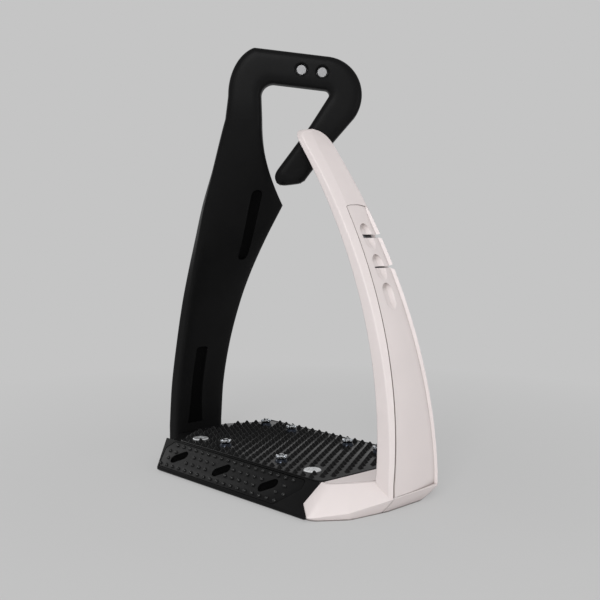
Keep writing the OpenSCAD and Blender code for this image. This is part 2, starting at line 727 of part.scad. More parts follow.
module relief_at(z) {
  lean = atan2(2 * arm_lean * z / arm_height, arm_height);
  translate([arm_outer(z) - panel_sink, relief_y, z]) rotate([0, -lean, 0]) hull()
    for (s = [-1, 1]) translate([-relief_depth, 0, s * (relief_len - relief_w) / 2])
      rotate([0, 90, 0]) cylinder(d = relief_w, h = 2 * relief_depth, $fn = 24);
}

module arm_panel() {
  color(warm_white) on_tread() difference() {
    loft([for (z = span(flex_height, panel_top, 14)) panel_ring(z)]);
    for (z = relief_z) relief_at(z);
    for (z = slit_z) slit_at(z);
  }
}

module spring_leaf() {
  color(dark_steel) on_tread() {
    loft([for (z = span(tongue_z[1], leaf_top, 18)) leaf_ring(z)]);
    translate([clamp_x[0], -leaf_half, tongue_z[1]])
      cube([leaf_x(0) + leaf_thick / 2 - clamp_x[0], 2 * leaf_half, leaf_thick]);
  }
}

module leaf_clamp() {
  color(dark_steel) on_tread() difference() {
    translate([clamp_x[0], -clamp_half, clamp_z])
      cube([clamp_x[1] - clamp_x[0], 2 * clamp_half, clamp_thick]);
    at_each(clamp_spots) translate([0, 0, clamp_z - 1]) cylinder(d = small_hole_d, h = clamp_thick + 2);
  }
}

module clamp_screws() {
  clamp_top = clamp_z + clamp_thick;
  color(dark_steel) on_tread() at_each(clamp_spots) translate([0, 0, clamp_top])
    mirror([0, 0, 1]) cap_screw(clamp_top - tongue_z[0] - 0.4);
}

base_frame();
bottom_plate();
bottom_screws();
steel_core();
core_screws();
inner_branch();
eye_pins();
tread_pad();
tread_studs();
stud_nuts();
tread_screws();
screw_nuts();
front_grip_pad();
rear_grip_pad();
outer_foot();
foot_panel();
arm_shell();
arm_panel();
spring_leaf();
leaf_clamp();
clamp_screws();
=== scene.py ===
import bpy
import bmesh
import json
import math
from mathutils import Matrix, Vector


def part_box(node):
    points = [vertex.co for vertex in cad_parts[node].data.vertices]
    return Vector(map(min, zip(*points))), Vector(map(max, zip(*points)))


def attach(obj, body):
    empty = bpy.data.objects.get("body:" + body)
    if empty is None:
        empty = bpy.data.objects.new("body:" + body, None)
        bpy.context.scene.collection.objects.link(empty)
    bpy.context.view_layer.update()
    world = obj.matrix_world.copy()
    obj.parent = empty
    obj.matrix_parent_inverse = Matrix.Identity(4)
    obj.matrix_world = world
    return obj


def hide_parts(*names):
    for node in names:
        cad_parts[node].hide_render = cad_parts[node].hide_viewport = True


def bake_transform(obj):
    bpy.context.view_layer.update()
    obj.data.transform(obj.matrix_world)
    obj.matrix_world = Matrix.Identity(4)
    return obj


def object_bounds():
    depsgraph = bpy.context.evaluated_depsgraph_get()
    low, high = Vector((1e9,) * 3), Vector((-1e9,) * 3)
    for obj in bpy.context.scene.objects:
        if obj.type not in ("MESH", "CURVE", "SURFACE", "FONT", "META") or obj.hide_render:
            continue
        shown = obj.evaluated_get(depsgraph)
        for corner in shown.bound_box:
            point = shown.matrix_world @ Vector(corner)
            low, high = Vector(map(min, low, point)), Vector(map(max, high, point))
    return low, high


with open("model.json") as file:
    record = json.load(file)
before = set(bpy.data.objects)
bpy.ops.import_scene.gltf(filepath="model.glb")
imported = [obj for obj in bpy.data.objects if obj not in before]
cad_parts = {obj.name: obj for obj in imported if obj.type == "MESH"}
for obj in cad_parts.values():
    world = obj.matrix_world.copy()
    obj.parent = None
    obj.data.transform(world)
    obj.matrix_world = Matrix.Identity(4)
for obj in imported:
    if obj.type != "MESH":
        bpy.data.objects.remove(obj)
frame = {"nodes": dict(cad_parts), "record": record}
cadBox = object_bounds()
nodes = frame["nodes"]
mm = 0.001
up = Vector((0, 0, 1))

# overall sizes shared by every piece, in millimetres
stirrup = {
    "baseHeight": 12.0, "lipY": 41.0, "lipInset": 2.0, "lipBottom": 1.2, "lipTop": 2.4,
    "edgeY": 29.6, "padY": 28.6, "padThick": 3.0, "innerEnd": 61.0, "innerCorner": 40.0,
    "rootHalf": 13.0, "armReach": 72.4, "fit": 0.15,
    # where the pale foot meets the base: how far in from the arm's outer face, and Y
    "footJoint": ((18.1, 41.0), (21.9, 41.0), (23.9, 37.0), (22.4, 29.6), (20.4, 0.0)),
}
tread = stirrup["baseHeight"]
footCorner, rearCorner, footPoint, footShoulder, footMiddle = (
    (stirrup["armReach"] - inset, y) for inset, y in stirrup["footJoint"])


def mix(a, b, t):
    return a + (b - a) * t


def span(a, b, n):
    return [mix(a, b, i / n) for i in range(n + 1)]


def nearest(p, spots):
    return min(math.hypot(p[0] - s[0], p[1] - s[1]) for s in spots)


def tipRound(t):
    return max(1 - t ** 3, 0.002) ** 0.4


def superRing(c, wide, thick, a, b, power, n):
    ring = []
    for i in range(n):
        t = (i + 0.5) * 2 * math.pi / n
        ct, st = math.cos(t), math.sin(t)
        ring.append(c + wide * a * math.copysign(abs(ct) ** (2 / power), ct)
                    + thick * b * math.copysign(abs(st) ** (2 / power), st))
    return ring


def roundedOutline(pts, radii, n=6):
    out = []
    for i, p in enumerate(pts):
        r = radii[i] if isinstance(radii, list) else radii
        p, q, s = Vector(p), Vector(pts[i - 1]), Vector(pts[(i + 1) % len(pts)])
        a, b = (q - p).normalized(), (s - p).normalized()
        half = math.acos(max(-1, min(1, a.dot(b)))) / 2
        c = p + (a + b).normalized() * r / math.sin(half)
        fromP, toP = p + a * r / math.tan(half) - c, p + b * r / math.tan(half) - c
        out += [c + mix(fromP, toP, t).normalized() * r for t in span(0, 1, n)]
    return out


def circle(r, n, x=0, y=0):
    return [(x + r * math.cos(2 * math.pi * k / n), y + r * math.sin(2 * math.pi * k / n)) for k in range(n)]


def addObject(name, data):
    obj = bpy.data.objects.new(name, data)
    bpy.context.scene.collection.objects.link(obj)
    return obj


# meshes: written in millimetres, kept in metres
def meshPiece(name, verts, faces, sharp=32):
    data = bpy.data.meshes.new(name)
    data.from_pydata([Vector(v) * mm for v in verts], [], faces)
    bm = bmesh.new()
    bm.from_mesh(data)
    bmesh.ops.recalc_face_normals(bm, faces=bm.faces)
    bm.to_mesh(data)
    bm.free()
    obj = addObject(name, data)
    smoothByAngle(obj, sharp)
    return obj


def smoothByAngle(obj, degrees):
    obj.data.shade_smooth()
    obj.data.set_sharp_from_angle(angle=math.radians(degrees))


# quads between rings of n points, the first ring starting at a given point
def ringFaces(n, rings, start=0):
    return [(a + k, a + (k + 1) % n, a + n + (k + 1) % n, a + n + k)
            for a in range(start, start + (rings - 1) * n, n) for k in range(n)]


def capFaces(n, rings, start=0):
    last = start + (rings - 1) * n
    return [tuple(range(start, start + n))[::-1], tuple(range(last, last + n))]


def loftPiece(name, rings, sharp=32):
    n, count = len(rings[0]), len(rings)
    return meshPiece(name, [p for ring in rings for p in ring], ringFaces(n, count) + capFaces(n, count), sharp)


def prismPiece(name, outline, low, high, place=Matrix()):
    return loftPiece(name, [[place @ Vector((p[0], p[1], z)) for p in outline] for z in (low, high)])


def boxPiece(name, low, high):
    outline = [(low[0], low[1]), (high[0], low[1]), (high[0], high[1]), (low[0], high[1])]
    return prismPiece(name, outline, low[2], high[2])


def settle(obj):
    bpy.context.view_layer.update()
    done = bpy.data.meshes.new_from_object(obj.evaluated_get(bpy.context.evaluated_depsgraph_get()))
    obj.modifiers.clear()
    obj.data = done


def combine(obj, other, operation="DIFFERENCE", sharp=32):
    step = obj.modifiers.new("combine", "BOOLEAN")
    step.operation, step.solver, step.object = operation, "EXACT", other
    settle(obj)
    bpy.data.objects.remove(other)
    smoothByAngle(obj, sharp)


def easeEdges(obj, width, segments=3, angle=28, sharp=50):
    step = obj.modifiers.new("ease", "BEVEL")
    step.width, step.segments = width * mm, segments
    step.limit_method, step.angle_limit = "ANGLE", math.radians(angle)
    settle(obj)
    smoothByAngle(obj, sharp)


def joinPieces(name, pieces):
    bm = bmesh.new()
    for piece in pieces:
        bm.from_mesh(piece.data)
        bpy.data.objects.remove(piece)
    data = bpy.data.meshes.new(name)
    bm.to_mesh(data)
    bm.free()
    return addObject(name, data)


def lathePiece(name, profile, spots, n=40):
    verts, faces = [], []
    for x, y in spots:
        start = len(verts)
        for r, z in profile:
            verts += [(*spot, z) for spot in circle(r, n, x, y)]
        faces += ringFaces(n, len(profile), start) + capFaces(n, len(profile), start)
    return meshPiece(name, verts, faces, 30)


# shared shader effects
def newGroup(name, inputs, outputs):
    group = bpy.data.node_groups.new(name, "ShaderNodeTree")
    for label, value in inputs:
        group.interface.new_socket(label, in_out="INPUT", socket_type="NodeSocketFloat").default_value = value
    for label in outputs:
        group.interface.new_socket(label, in_out="OUTPUT", socket_type="NodeSocketFloat")
    return group, group.nodes.new("NodeGroupInput"), group.nodes.new("NodeGroupOutput")


def addNodes(tree, *kinds):
    return [tree.nodes.new("ShaderNode" + kind) for kind in kinds]


def feed(tree, node, values):  # a socket is linked, anything else is set
    for label, value in values.items():
        if isinstance(value, bpy.types.NodeSocket):
            tree.links.new(value, node.inputs[label])
        else:
            node.inputs[label].default_value = value


def feedRange(tree, node, value, given, result):
    feed(tree, node, {"Value": value, "From Min": given[0], "From Max": given[1], "To Min": result[0],
                      "To Max": result[1]})


def addMath(tree, operation, first, second):
    node, = addNodes(tree, "Math")
    node.operation = operation
    feed(tree, node, {0: first, 1: second})
    return node.outputs[0]


def addNoise(tree, scale, detail, roughness=0.55):
    coords, noise = addNodes(tree, "TexCoord", "TexNoise")
    feed(tree, noise, {"Vector": coords.outputs["Object"], "Scale": scale, "Detail": detail, "Roughness": roughness})
    return noise.outputs["Fac"]


def makeMouldGrain():
    group, given, result = newGroup("mouldGrain", [("Scale", 2200), ("Patch", 60)], ["Height", "Mottle"])
    fine = addNoise(group, given.outputs["Scale"], 3)
    coarse = addNoise(group, given.outputs["Patch"], 4)
    height = addMath(group, "ADD", fine, addMath(group, "MULTIPLY", coarse, 0.3))
    feed(group, result, {"Height": height, "Mottle": coarse})
    return group


def makeEdgeWear():
    group, given, result = newGroup("edgeWear", [("Start", 0.52), ("Spread", 0.08)], ["Wear"])
    geometry, ramp = addNodes(group, "NewGeometry", "Clamp")
    lifted = addMath(group, "SUBTRACT", geometry.outputs["Pointiness"], given.outputs["Start"])
    feed(group, ramp, {"Value": addMath(group, "DIVIDE", lifted, given.outputs["Spread"])})
    feed(group, result, {"Wear": addMath(group, "MULTIPLY", ramp.outputs[0], addNoise(group, 420, 5))})
    return group


# painted shade: the colour darkens where ambient occlusion finds crevices, seams and hollows
def makeCreviceShade():
    group, given, result = newGroup("paintedCreviceShade", [("Reach", 0.0012), ("Level", 0.55), ("Spread", 0.22)], ["Shade"])
    hollow, ramp = addNodes(group, "AmbientOcclusion", "Clamp")
    hollow.samples = 12
    feed(group, hollow, {"Distance": given.outputs["Reach"]})
    deep = addMath(group, "SUBTRACT", given.outputs["Level"], hollow.outputs["AO"])
    feed(group, ramp, {"Value": addMath(group, "DIVIDE", deep, given.outputs["Spread"])})
    feed(group, result, {"Shade": ramp.outputs[0]})
    return group


effects = {"grain": makeMouldGrain(), "wear": makeEdgeWear(), "paintedShade": makeCreviceShade()}


def addEffect(tree, name, **values):
    node, = addNodes(tree, "Group")
    node.node_tree = effects[name]
    feed(tree, node, values)
    return node


def layColour(tree, under, share, colour):
    layer, = addNodes(tree, "Mix")
    layer.data_type = "RGBA"
    feed(tree, layer, {"Factor": share, "A": under, "B": (*colour, 1)})
    return layer.outputs["Result"]


def newMaterial(name):
    material = bpy.data.materials.new(name)
    material.use_nodes = True
    return material, material.node_tree, material.node_tree.nodes["Principled BSDF"]


def finish(name, look):
    material, tree, shader = newMaterial(name)
    grain = addEffect(tree, "grain", Scale=look["grain"], Patch=look["patch"])
    wear = addEffect(tree, "wear", Start=look["wearFrom"])
    paintedShade = addEffect(tree, "paintedShade", Reach=look["shadeReach"], Level=look["shadeFrom"], Spread=look["shadeSpread"])
    mottle = grain.outputs["Mottle"]
    colour = layColour(tree, (*look["dark"], 1), mottle, look["light"])
    colour = layColour(tree, colour, addMath(tree, "MULTIPLY", wear.outputs["Wear"], look["wear"]), look["edge"])
    # painted shade in crevices, seams and recesses, in each look's shade colour
    colour = layColour(tree, colour, addMath(tree, "MULTIPLY", paintedShade.outputs["Shade"], look["shadeShare"]), look["paintedShade"])
    rough, bump = addNodes(tree, "MapRange", "Bump")
    feedRange(tree, rough, mottle, (0, 1), look["rough"])
    feed(tree, bump, {"Strength": look["bump"], "Distance": 0.0002, "Height": grain.outputs["Height"]})
    feed(tree, shader, {"Base Color": colour, "Roughness": rough.outputs["Result"], "Normal": bump.outputs["Normal"],
                        "Metallic": look["metal"], "Specular IOR Level": look["specular"]})
    return material


# what the looks share; each then says how it differs
# every look lays painted shade into its crevices: its colour, share, reach, threshold and spread
plainLook = {"wear": 0.4, "wearFrom": 0.53, "metal": 0.0, "shadeShare": 0.8, "shadeReach": 0.0012, "shadeFrom": 0.55,
             "shadeSpread": 0.22}
mouldedLook = {**plainLook, "grain": 2600, "patch": 55, "bump": 0.16}
rubberLook = {**plainLook, "edge": (0.05, 0.05, 0.051), "wear": 0.2, "wearFrom": 0.55, "grain": 1800, "patch": 90,
              "bump": 0.16, "specular": 0.1, "shadeShare": 0.9, "shadeReach": 0.0008}
paleLook = {**plainLook, "dark": (0.70, 0.637, 0.628), "light": (0.76, 0.691, 0.682), "edge": (0.80, 0.74, 0.73),
            "wear": 0.35, "rough": (0.40, 0.52), "grain": 2400, "patch": 40, "bump": 0.10, "specular": 0.45,
            "shadeShare": 0.9}
steelLook = {**plainLook, "grain": 3000, "patch": 260, "metal": 1.0, "specular": 0.5, "paintedShade": (0.03, 0.03, 0.033),
             "shadeShare": 0.7}
looks = {
    "black_composite": {**mouldedLook, "dark": (0.006, 0.006, 0.0062), "light": (0.009, 0.009, 0.0092),
                        "edge": (0.03, 0.03, 0.031), "rough": (0.30, 0.42), "specular": 0.04,
                        "paintedShade": (0.002, 0.002, 0.002)},
    # a darker copy of the black for faces sunk in the blade's groove and pocket: painted shade
    "recess_painted_shade": {**mouldedLook, "dark": (0.002, 0.002, 0.0021), "light": (0.003, 0.003, 0.0031),
                         "edge": (0.01, 0.01, 0.0105), "wear": 0.3, "rough": (0.45, 0.55), "specular": 0.02,
                         "paintedShade": (0.001, 0.001, 0.001)},
    "black_rubber": {**rubberLook, "dark": (0.004, 0.004, 0.0042), "light": (0.007, 0.007, 0.0072), "wear": 0.1,
                     "wearFrom": 0.56, "rough": (0.36, 0.48), "paintedShade": (0.003, 0.003, 0.003)},
    # a lighter copy of the same rubber for the tread's upward faces: painted sheen
    "tread_ground_sheen": {**rubberLook, "dark": (0.008, 0.008, 0.0082), "light": (0.014, 0.014, 0.0143),
                     "rough": (0.16, 0.26), "bump": 0.10, "specular": 0.2, "paintedShade": (0.003, 0.003, 0.003),
                     "shadeShare": 0.8, "shadeReach": 0.0006, "shadeFrom": 0.45},
    # a darker copy of the pads' rubber for their sloped plates: painted shade
    "grip_rubber_painted_shade": {**rubberLook, "dark": (0.0025, 0.0025, 0.0027), "light": (0.0045, 0.0045, 0.0047),
                    "rough": (0.30, 0.42), "paintedShade": (0.001, 0.001, 0.001)},
    "bump_rubber": {**rubberLook, "dark": (0.004, 0.004, 0.0042), "light": (0.007, 0.007, 0.0072),
                    "rough": (0.16, 0.24), "bump": 0.06, "specular": 0.35, "paintedShade": (0.001, 0.001, 0.001),
                    "shadeReach": 0.0005, "shadeFrom": 0.45},
    # the pale looks lay painted shade into seams and recesses; the inlay's reaches wider, into its scoops and rear
    # dip
    "white_composite": {**paleLook, "paintedShade": (0.13, 0.10, 0.088), "shadeReach": 0.0014, "shadeFrom": 0.52},
    "inlay_composite": {**paleLook, "paintedShade": (0.18, 0.14, 0.12), "shadeReach": 0.003, "shadeFrom": 0.96,
                        "shadeSpread": 0.5},
    "polished_steel": {**steelLook, "dark": (0.68, 0.70, 0.72), "light": (0.80, 0.82, 0.84),
                       "edge": (0.92, 0.93, 0.94), "rough": (0.16, 0.28), "grain": 3200, "patch": 300, "bump": 0.06,
                       "paintedShade": (0.02, 0.022, 0.026), "shadeShare": 0.9, "shadeReach": 0.0016},
    "satin_steel": {**steelLook, "dark": (0.78, 0.79, 0.80), "light": (0.88, 0.89, 0.90),
                    "edge": (0.94, 0.95, 0.96), "rough": (0.42, 0.58), "bump": 0.14, "paintedShade": (0.02, 0.022, 0.026),
                    "shadeShare": 0.9, "shadeFrom": 0.6, "shadeSpread": 0.3},
    "pin_steel": {**steelLook, "dark": (0.24, 0.24, 0.245), "light": (0.30, 0.30, 0.305),
                  "edge": (0.34, 0.34, 0.345), "wearFrom": 0.54, "rough": (0.50, 0.62), "bump": 0.12},
    "blued_steel": {**steelLook, "dark": (0.020, 0.024, 0.032), "light": (0.040, 0.046, 0.058),
                    "edge": (0.22, 0.24, 0.27), "wearFrom": 0.54, "rough": (0.22, 0.34), "bump": 0.08,
                    "paintedShade": (0.01, 0.01, 0.012), "shadeShare": 0.8},
    "plain_steel": {**steelLook, "dark": (0.42, 0.43, 0.45), "light": (0.54, 0.55, 0.57),
                    "edge": (0.70, 0.71, 0.73), "rough": (0.30, 0.45), "grain": 2600, "patch": 200, "bump": 0.10},
    "spring_steel": {**steelLook, "dark": (0.34, 0.35, 0.38), "light": (0.44, 0.45, 0.48),
                     "edge": (0.60, 0.61, 0.64), "rough": (0.26, 0.40), "grain": 2800, "patch": 160, "bump": 0.08},
}
finishes = {slot: finish(slot, look) for slot, look in looks.items()}
print("finishes made:", len(finishes))


def dress(obj, slot, *looksUsed):
    for point in obj.data.vertices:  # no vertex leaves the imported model's box
        point.co = [min(max(c, low), high) for c, low, high in zip(point.co, *cadBox)]
    obj.data.materials.clear()
    for name in looksUsed or (slot,):
        obj.data.materials.append(finishes[name])


for part in frame["record"]["subparts"]:
    nodes[part["node"]].data.materials.clear()
    nodes[part["node"]].data.materials.append(finishes[part["material_slot"]])

# black base: cross profile met with the plan, edges eased, then the slopes' recesses
base = {"easeWidth": 0.55, "gripThick": 1.4, "gripMargin": 0.7, "gripCut": 4.0, "gripRound": 1.6, "gripMiddle": 0.68,
        "gripX": (-43.5, 43.5), "pitD": 4.4, "pitReach": 2.4, "pitTurn": 36.0, "pitDepth": 5.0,
        "pitX": (-31.0, -2.0, 27.0),
        "pocketX": 40.5, "pocketY": 25.5, "deckBottom": 6.0, "tongueX": (45.0, 63.4), "tongueHalf": 12.0,
        "tongueZ": (1.6, 4.5), "profileX": (-65.5, 70.0), "grooveFrom": -70.0, "grooveEnd": 0.6, "grooveInto": 0.1,
        "grooveDeep": 0.9, "cutAbove": 3.0}
slopeRun, slopeRise = stirrup["lipY"] - stirrup["edgeY"], tread - stirrup["lipTop"]
slopeLen, slopeAngle = math.hypot(slopeRun, slopeRise), math.atan2(slopeRise, slopeRun)
frontSlope = Matrix.Translation((0, -stirrup["lipY"], stirrup["lipTop"])) @ Matrix.Rotation(slopeAngle, 4, "X")
rearSlope = Matrix.Diagonal((1, -1, 1, 1)) @ frontSlope
baseEnd = [(footCorner[0], -footCorner[1]), (footPoint[0], -footPoint[1]), (footShoulder[0], -footShoulder[1]),
           footMiddle, footShoulder, (footPoint[0] - 2, footPoint[1]), rearCorner]


def gripOutline(grow):
    bottom, top = base["gripMargin"] - grow, slopeLen - base["gripMargin"] + grow
    left, right = base["gripX"][0] - grow, base["gripX"][1] + grow
    middle, cut = mix(bottom, top, base["gripMiddle"]), base["gripCut"]
    return roundedOutline([(left + cut, bottom), (right - 2 * cut, bottom), (right, middle), (right - 0.5, top),
                           (left + 0.7 * cut, top), (left, middle)], base["gripRound"])


def capsuleOutline(reach, r, n=20):
    return [Vector((s * reach + r * math.cos(a), r * math.sin(a))) for s, low in ((1, -90), (-1, 90))
            for a in [math.radians(low + 180 * k / n) for k in range(n + 1)]]


def pitCutter(place):
    slant = Matrix.Rotation(math.radians(base["pitTurn"]), 2)
    outline = [slant @ p for p in capsuleOutline(base["pitReach"], base["pitD"] / 2)]
    return joinPieces("pits", [prismPiece("pit", [p + Vector((x, slopeLen / 2)) for p in outline],
                                          -base["pitDepth"], base["cutAbove"], place) for x in base["pitX"]])


def makeBase():
    half = [(stirrup["lipY"] - stirrup["lipInset"], 0), (stirrup["lipY"], stirrup["lipBottom"]),
            (stirrup["lipY"], stirrup["lipTop"]), (stirrup["edgeY"], tread), (stirrup["padY"], tread),
            (stirrup["padY"], tread - stirrup["padThick"])]
    profile = half + [(-y, z) for y, z in reversed(half)]
    body = loftPiece("baseFrame", [[Vector((x, y, z)) for y, z in profile] for x in base["profileX"]])
    plan = [(-stirrup["innerCorner"], -stirrup["lipY"])] + baseEnd + [
        (-stirrup["innerCorner"], stirrup["lipY"]), (-stirrup["innerEnd"], stirrup["rootHalf"]),
        (-stirrup["innerEnd"], -stirrup["rootHalf"])]
    combine(body, prismPiece("plan", plan, -1, tread + 1), "INTERSECT")
    easeEdges(body, base["easeWidth"])
    combine(body, boxPiece("tongue", (base["tongueX"][0], -base["tongueHalf"], base["tongueZ"][0]),
                           (base["tongueX"][1], base["tongueHalf"], base["tongueZ"][1])), "UNION")
    combine(body, boxPiece("pocket", (-base["pocketX"], -base["pocketY"], -1),
                           (base["pocketX"], base["pocketY"], base["deckBottom"])))
    for side in (-1, 1):
        ys = sorted((side * stirrup["edgeY"], side * (stirrup["padY"] - base["grooveInto"])))
        combine(body, boxPiece("groove", (base["grooveFrom"], ys[0], tread - base["grooveDeep"]),
                               (footShoulder[0] - base["grooveEnd"], ys[1], tread + 1)))
    for place in (frontSlope, rearSlope):
        combine(body, prismPiece("recess", gripOutline(stirrup["fit"]), -base["gripThick"], base["cutAbove"], place))
        combine(body, pitCutter(place))
    dress(body, "black_composite")
    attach(body, "frame")
    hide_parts("base_frame")


makeBase()
print("base made")

# grip pads: rounded plate in its recess, four staggered rows of domed bumps, three holes over the pits
grip = {"rows": 4, "pitch": 4.4, "height": 0.8, "radius": 0.85, "edge": 3.0, "rowFrom": 2.2,
        "across": 10, "sunk": 0.02, "ease": 0.3}


def domeMesh(spots, radius, height, place, lift, n=14, steps=4):
    verts, faces = [], []
    for x, y in spots:
        start = len(verts)
        for s in range(steps):
            a = s / steps * math.pi / 2
            verts += [place @ Vector((*spot, lift + height * math.sin(a)))
                      for spot in circle(radius * math.cos(a), n, x, y)]
        verts.append(place @ Vector((x, y, lift + height)))
        faces += ringFaces(n, steps, start)
        top = start + (steps - 1) * n
        faces += [(top + k, top + (k + 1) % n, start + steps * n) for k in range(n)]
        faces.append(tuple(range(start, start + n))[::-1])
    return meshPiece("domes", verts, faces, 60)


def makeGrip(name, place, node):
    plate = prismPiece("plate", gripOutline(0), -base["gripThick"] + grip["sunk"], 0, place)
    easeEdges(plate, grip["ease"], 2)
    combine(plate, pitCutter(place))
    step = (slopeLen - 2 * grip["rowFrom"]) / (grip["rows"] - 1)
    turn = math.radians(base["pitTurn"])
    pitSpots = [(x + s * base["pitReach"] * math.cos(turn), slopeLen / 2 + s * base["pitReach"] * math.sin(turn))
                for x in base["pitX"] for s in (-1, 0, 1)]
    spots = []
    for r in range(grip["rows"]):
        for i in range(-grip["across"], grip["across"] + 1):
            x, y = (i + (r % 2) / 2) * grip["pitch"], grip["rowFrom"] + r * step
            endCut = base["gripCut"] * (grip["rows"] - 1 - r) / grip["rows"]
            inside = base["gripX"][0] + grip["edge"] < x < base["gripX"][1] - grip["edge"] - endCut
            if inside and nearest((x, y), pitSpots) > base["pitD"] / 2 + grip["radius"]:
                spots.append((x, y))
    plateFaces = len(plate.data.polygons)
    pad = joinPieces(name, [plate, domeMesh(spots, grip["radius"], grip["height"], place, -grip["sunk"])])
    smoothByAngle(pad, 40)
    dress(pad, "black_rubber", "grip_rubber_painted_shade", "bump_rubber")
    # the plate takes the darker rubber, painted shade; the bumps take the glossier one
    for face in pad.data.polygons[plateFaces:]:
        face.material_index = 1
    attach(pad, "frame")
    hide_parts(node)


makeGrip("frontGripPad", frontSlope, "front_grip_pad")
makeGrip("rearGripPad", rearSlope, "rear_grip_pad")
print("grip pads made")

# tread: pad with staggered cone nubs, crowned studs and flat socket screws
treadSet = {"pitch": 4.5, "nubRadius": 1.25, "nubHeight": 1.4, "tipRadius": 0.4, "edge": 0.2, "rows": 7, "round": 4.0,
            "padEnd": 52.0, "padEndHalf": 8.0, "padFit": 0.6, "studPitch": 18.0, "studRow": 19.8, "studD": 4.8,
            "screwHeadD": 8.0, "hexD": 3.4, "headDrawn": 0.45, "bluedTo": 1.85, "studClear": 0.6, "endClear": 2.5,
            "footClear": 2.0, "across": 16, "ease": 0.35,
            "shank": ((1.5, -8.4), (1.5, 0)), "crown": ((1.0, 2.7), (0.8, 1.9)),
            "collar": ((0.4, 0), (0.35, 0.2), (-0.1, 0.8), (-0.35, 1.2), (-0.05, 1.8), (0, 2.0), (0, 2.55),
                       (-0.15, 2.7)), "notchHalf": (4, 0.7), "notchZ": (1.9, 4),
            "screwShank": ((2.0, -9), (2.0, -1)), "screwHead": ((0, -1), (0, 0.1), (-0.3, 0.4)), "socketZ": (0.25, 2)}
studSpots = [(s * treadSet["studPitch"], -treadSet["studRow"]) for s in (-1, 1)] + [
    (x * treadSet["studPitch"], treadSet["studRow"]) for x in (-2, -1, 1, 2)]
screwSpots = [(s * 2 * treadSet["studPitch"], -treadSet["studRow"]) for s in (-1, 1)]


def makeTread():
    y, end = stirrup["padY"] - stirrup["fit"], footShoulder[0] - treadSet["padFit"]
    plan = roundedOutline([(-stirrup["innerCorner"], -y), (end, -y), (footMiddle[0] - treadSet["padFit"], 0),
                           (end, y), (-stirrup["innerCorner"], y), (-treadSet["padEnd"], treadSet["padEndHalf"]),
                           (-treadSet["padEnd"], -treadSet["padEndHalf"])], treadSet["round"])
    plate = prismPiece("plate", plan, tread - stirrup["padThick"], tread)
    easeEdges(plate, treadSet["ease"], 2, 40)
    rows = treadSet["rows"]
    rowStep = (y - treadSet["nubRadius"] - treadSet["edge"]) / rows
    spots = []
    for r in range(-rows, rows + 1):
        for i in range(-treadSet["across"], treadSet["across"] + 1):
            p = ((i + (abs(r) % 2) / 2) * treadSet["pitch"], r * rowStep)
            outer = abs(r) == rows  # the outermost rows end sooner
            limit = mix(treadSet["padEnd"], stirrup["innerCorner"], (abs(p[1]) / stirrup["padY"]) ** 2)
            if (treadSet["endClear"] + outer - limit < p[0] < footShoulder[0] - treadSet["footClear"] * (1 + outer)
                    and nearest(p, studSpots) > treadSet["studD"] / 2 + treadSet["studClear"] + treadSet["nubRadius"]
                    and nearest(p, screwSpots) > treadSet["screwHeadD"] / 2 + treadSet["nubRadius"]):
                spots.append(p)
    r, h, tip = treadSet["nubRadius"], treadSet["nubHeight"], treadSet["tipRadius"]
    nubs = lathePiece("nubs", [(r * 1.12, tread - 0.05), (r, tread + 0.12), (mix(r, tip, 0.5), tread + h * 0.5),
                               (tip, tread + h * 0.9), (tip * 0.55, tread + h)], spots, 12)
    plateFaces = len(plate.data.polygons)
    pad = joinPieces("treadPad", [plate, nubs])
    smoothByAngle(pad, 50)
    dress(pad, "black_rubber", "black_rubber", "tread_ground_sheen")
    # upward faces of the plate take the lighter rubber: painted sheen
    for face in pad.data.polygons[:plateFaces]:
        face.material_index = int(face.normal.z > 0.9)
    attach(pad, "frame")
    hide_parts("tread_pad")
    return len(spots)


def outFrom(r, row):
    return [(r + out, z) for out, z in treadSet[row]]


def makeStuds():
    rings = (*treadSet["shank"], *outFrom(treadSet["studD"] / 2, "collar"), *treadSet["crown"])
    studs = lathePiece("treadStuds", [(r, tread + z) for r, z in rings], studSpots)
    a, b = treadSet["notchHalf"]
    for turn in (0, math.pi / 2):
        notches = [prismPiece("notch", [Matrix.Rotation(turn, 2) @ Vector(c) + Vector(s)
                                        for c in ((-a, -b), (a, -b), (a, b), (-a, b))],
                              *(tread + z for z in treadSet["notchZ"])) for s in studSpots]
        combine(studs, joinPieces("notches", notches))
    dress(studs, "polished_steel", "polished_steel", "blued_steel")
    for face in studs.data.polygons:
        face.material_index = int(face.center.z < (tread + treadSet["bluedTo"]) * mm)
    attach(studs, "frame")
    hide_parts("tread_studs")


def makeScrews():
    rings = (*treadSet["screwShank"], *outFrom(treadSet["screwHeadD"] / 2 - treadSet["headDrawn"], "screwHead"))
    screws = lathePiece("treadScrews", [(r, tread + z) for r, z in rings], screwSpots)
    sockets = [prismPiece("socket", circle(treadSet["hexD"] / 2, 6, *s), *(tread + z for z in treadSet["socketZ"]))
               for s in screwSpots]
    combine(screws, joinPieces("sockets", sockets))
    dress(screws, "polished_steel", "satin_steel")
    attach(screws, "frame")
    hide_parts("tread_screws")


nubCount = makeTread()
makeStuds()
makeScrews()
print("tread, studs and screws made, nubs:", nubCount)

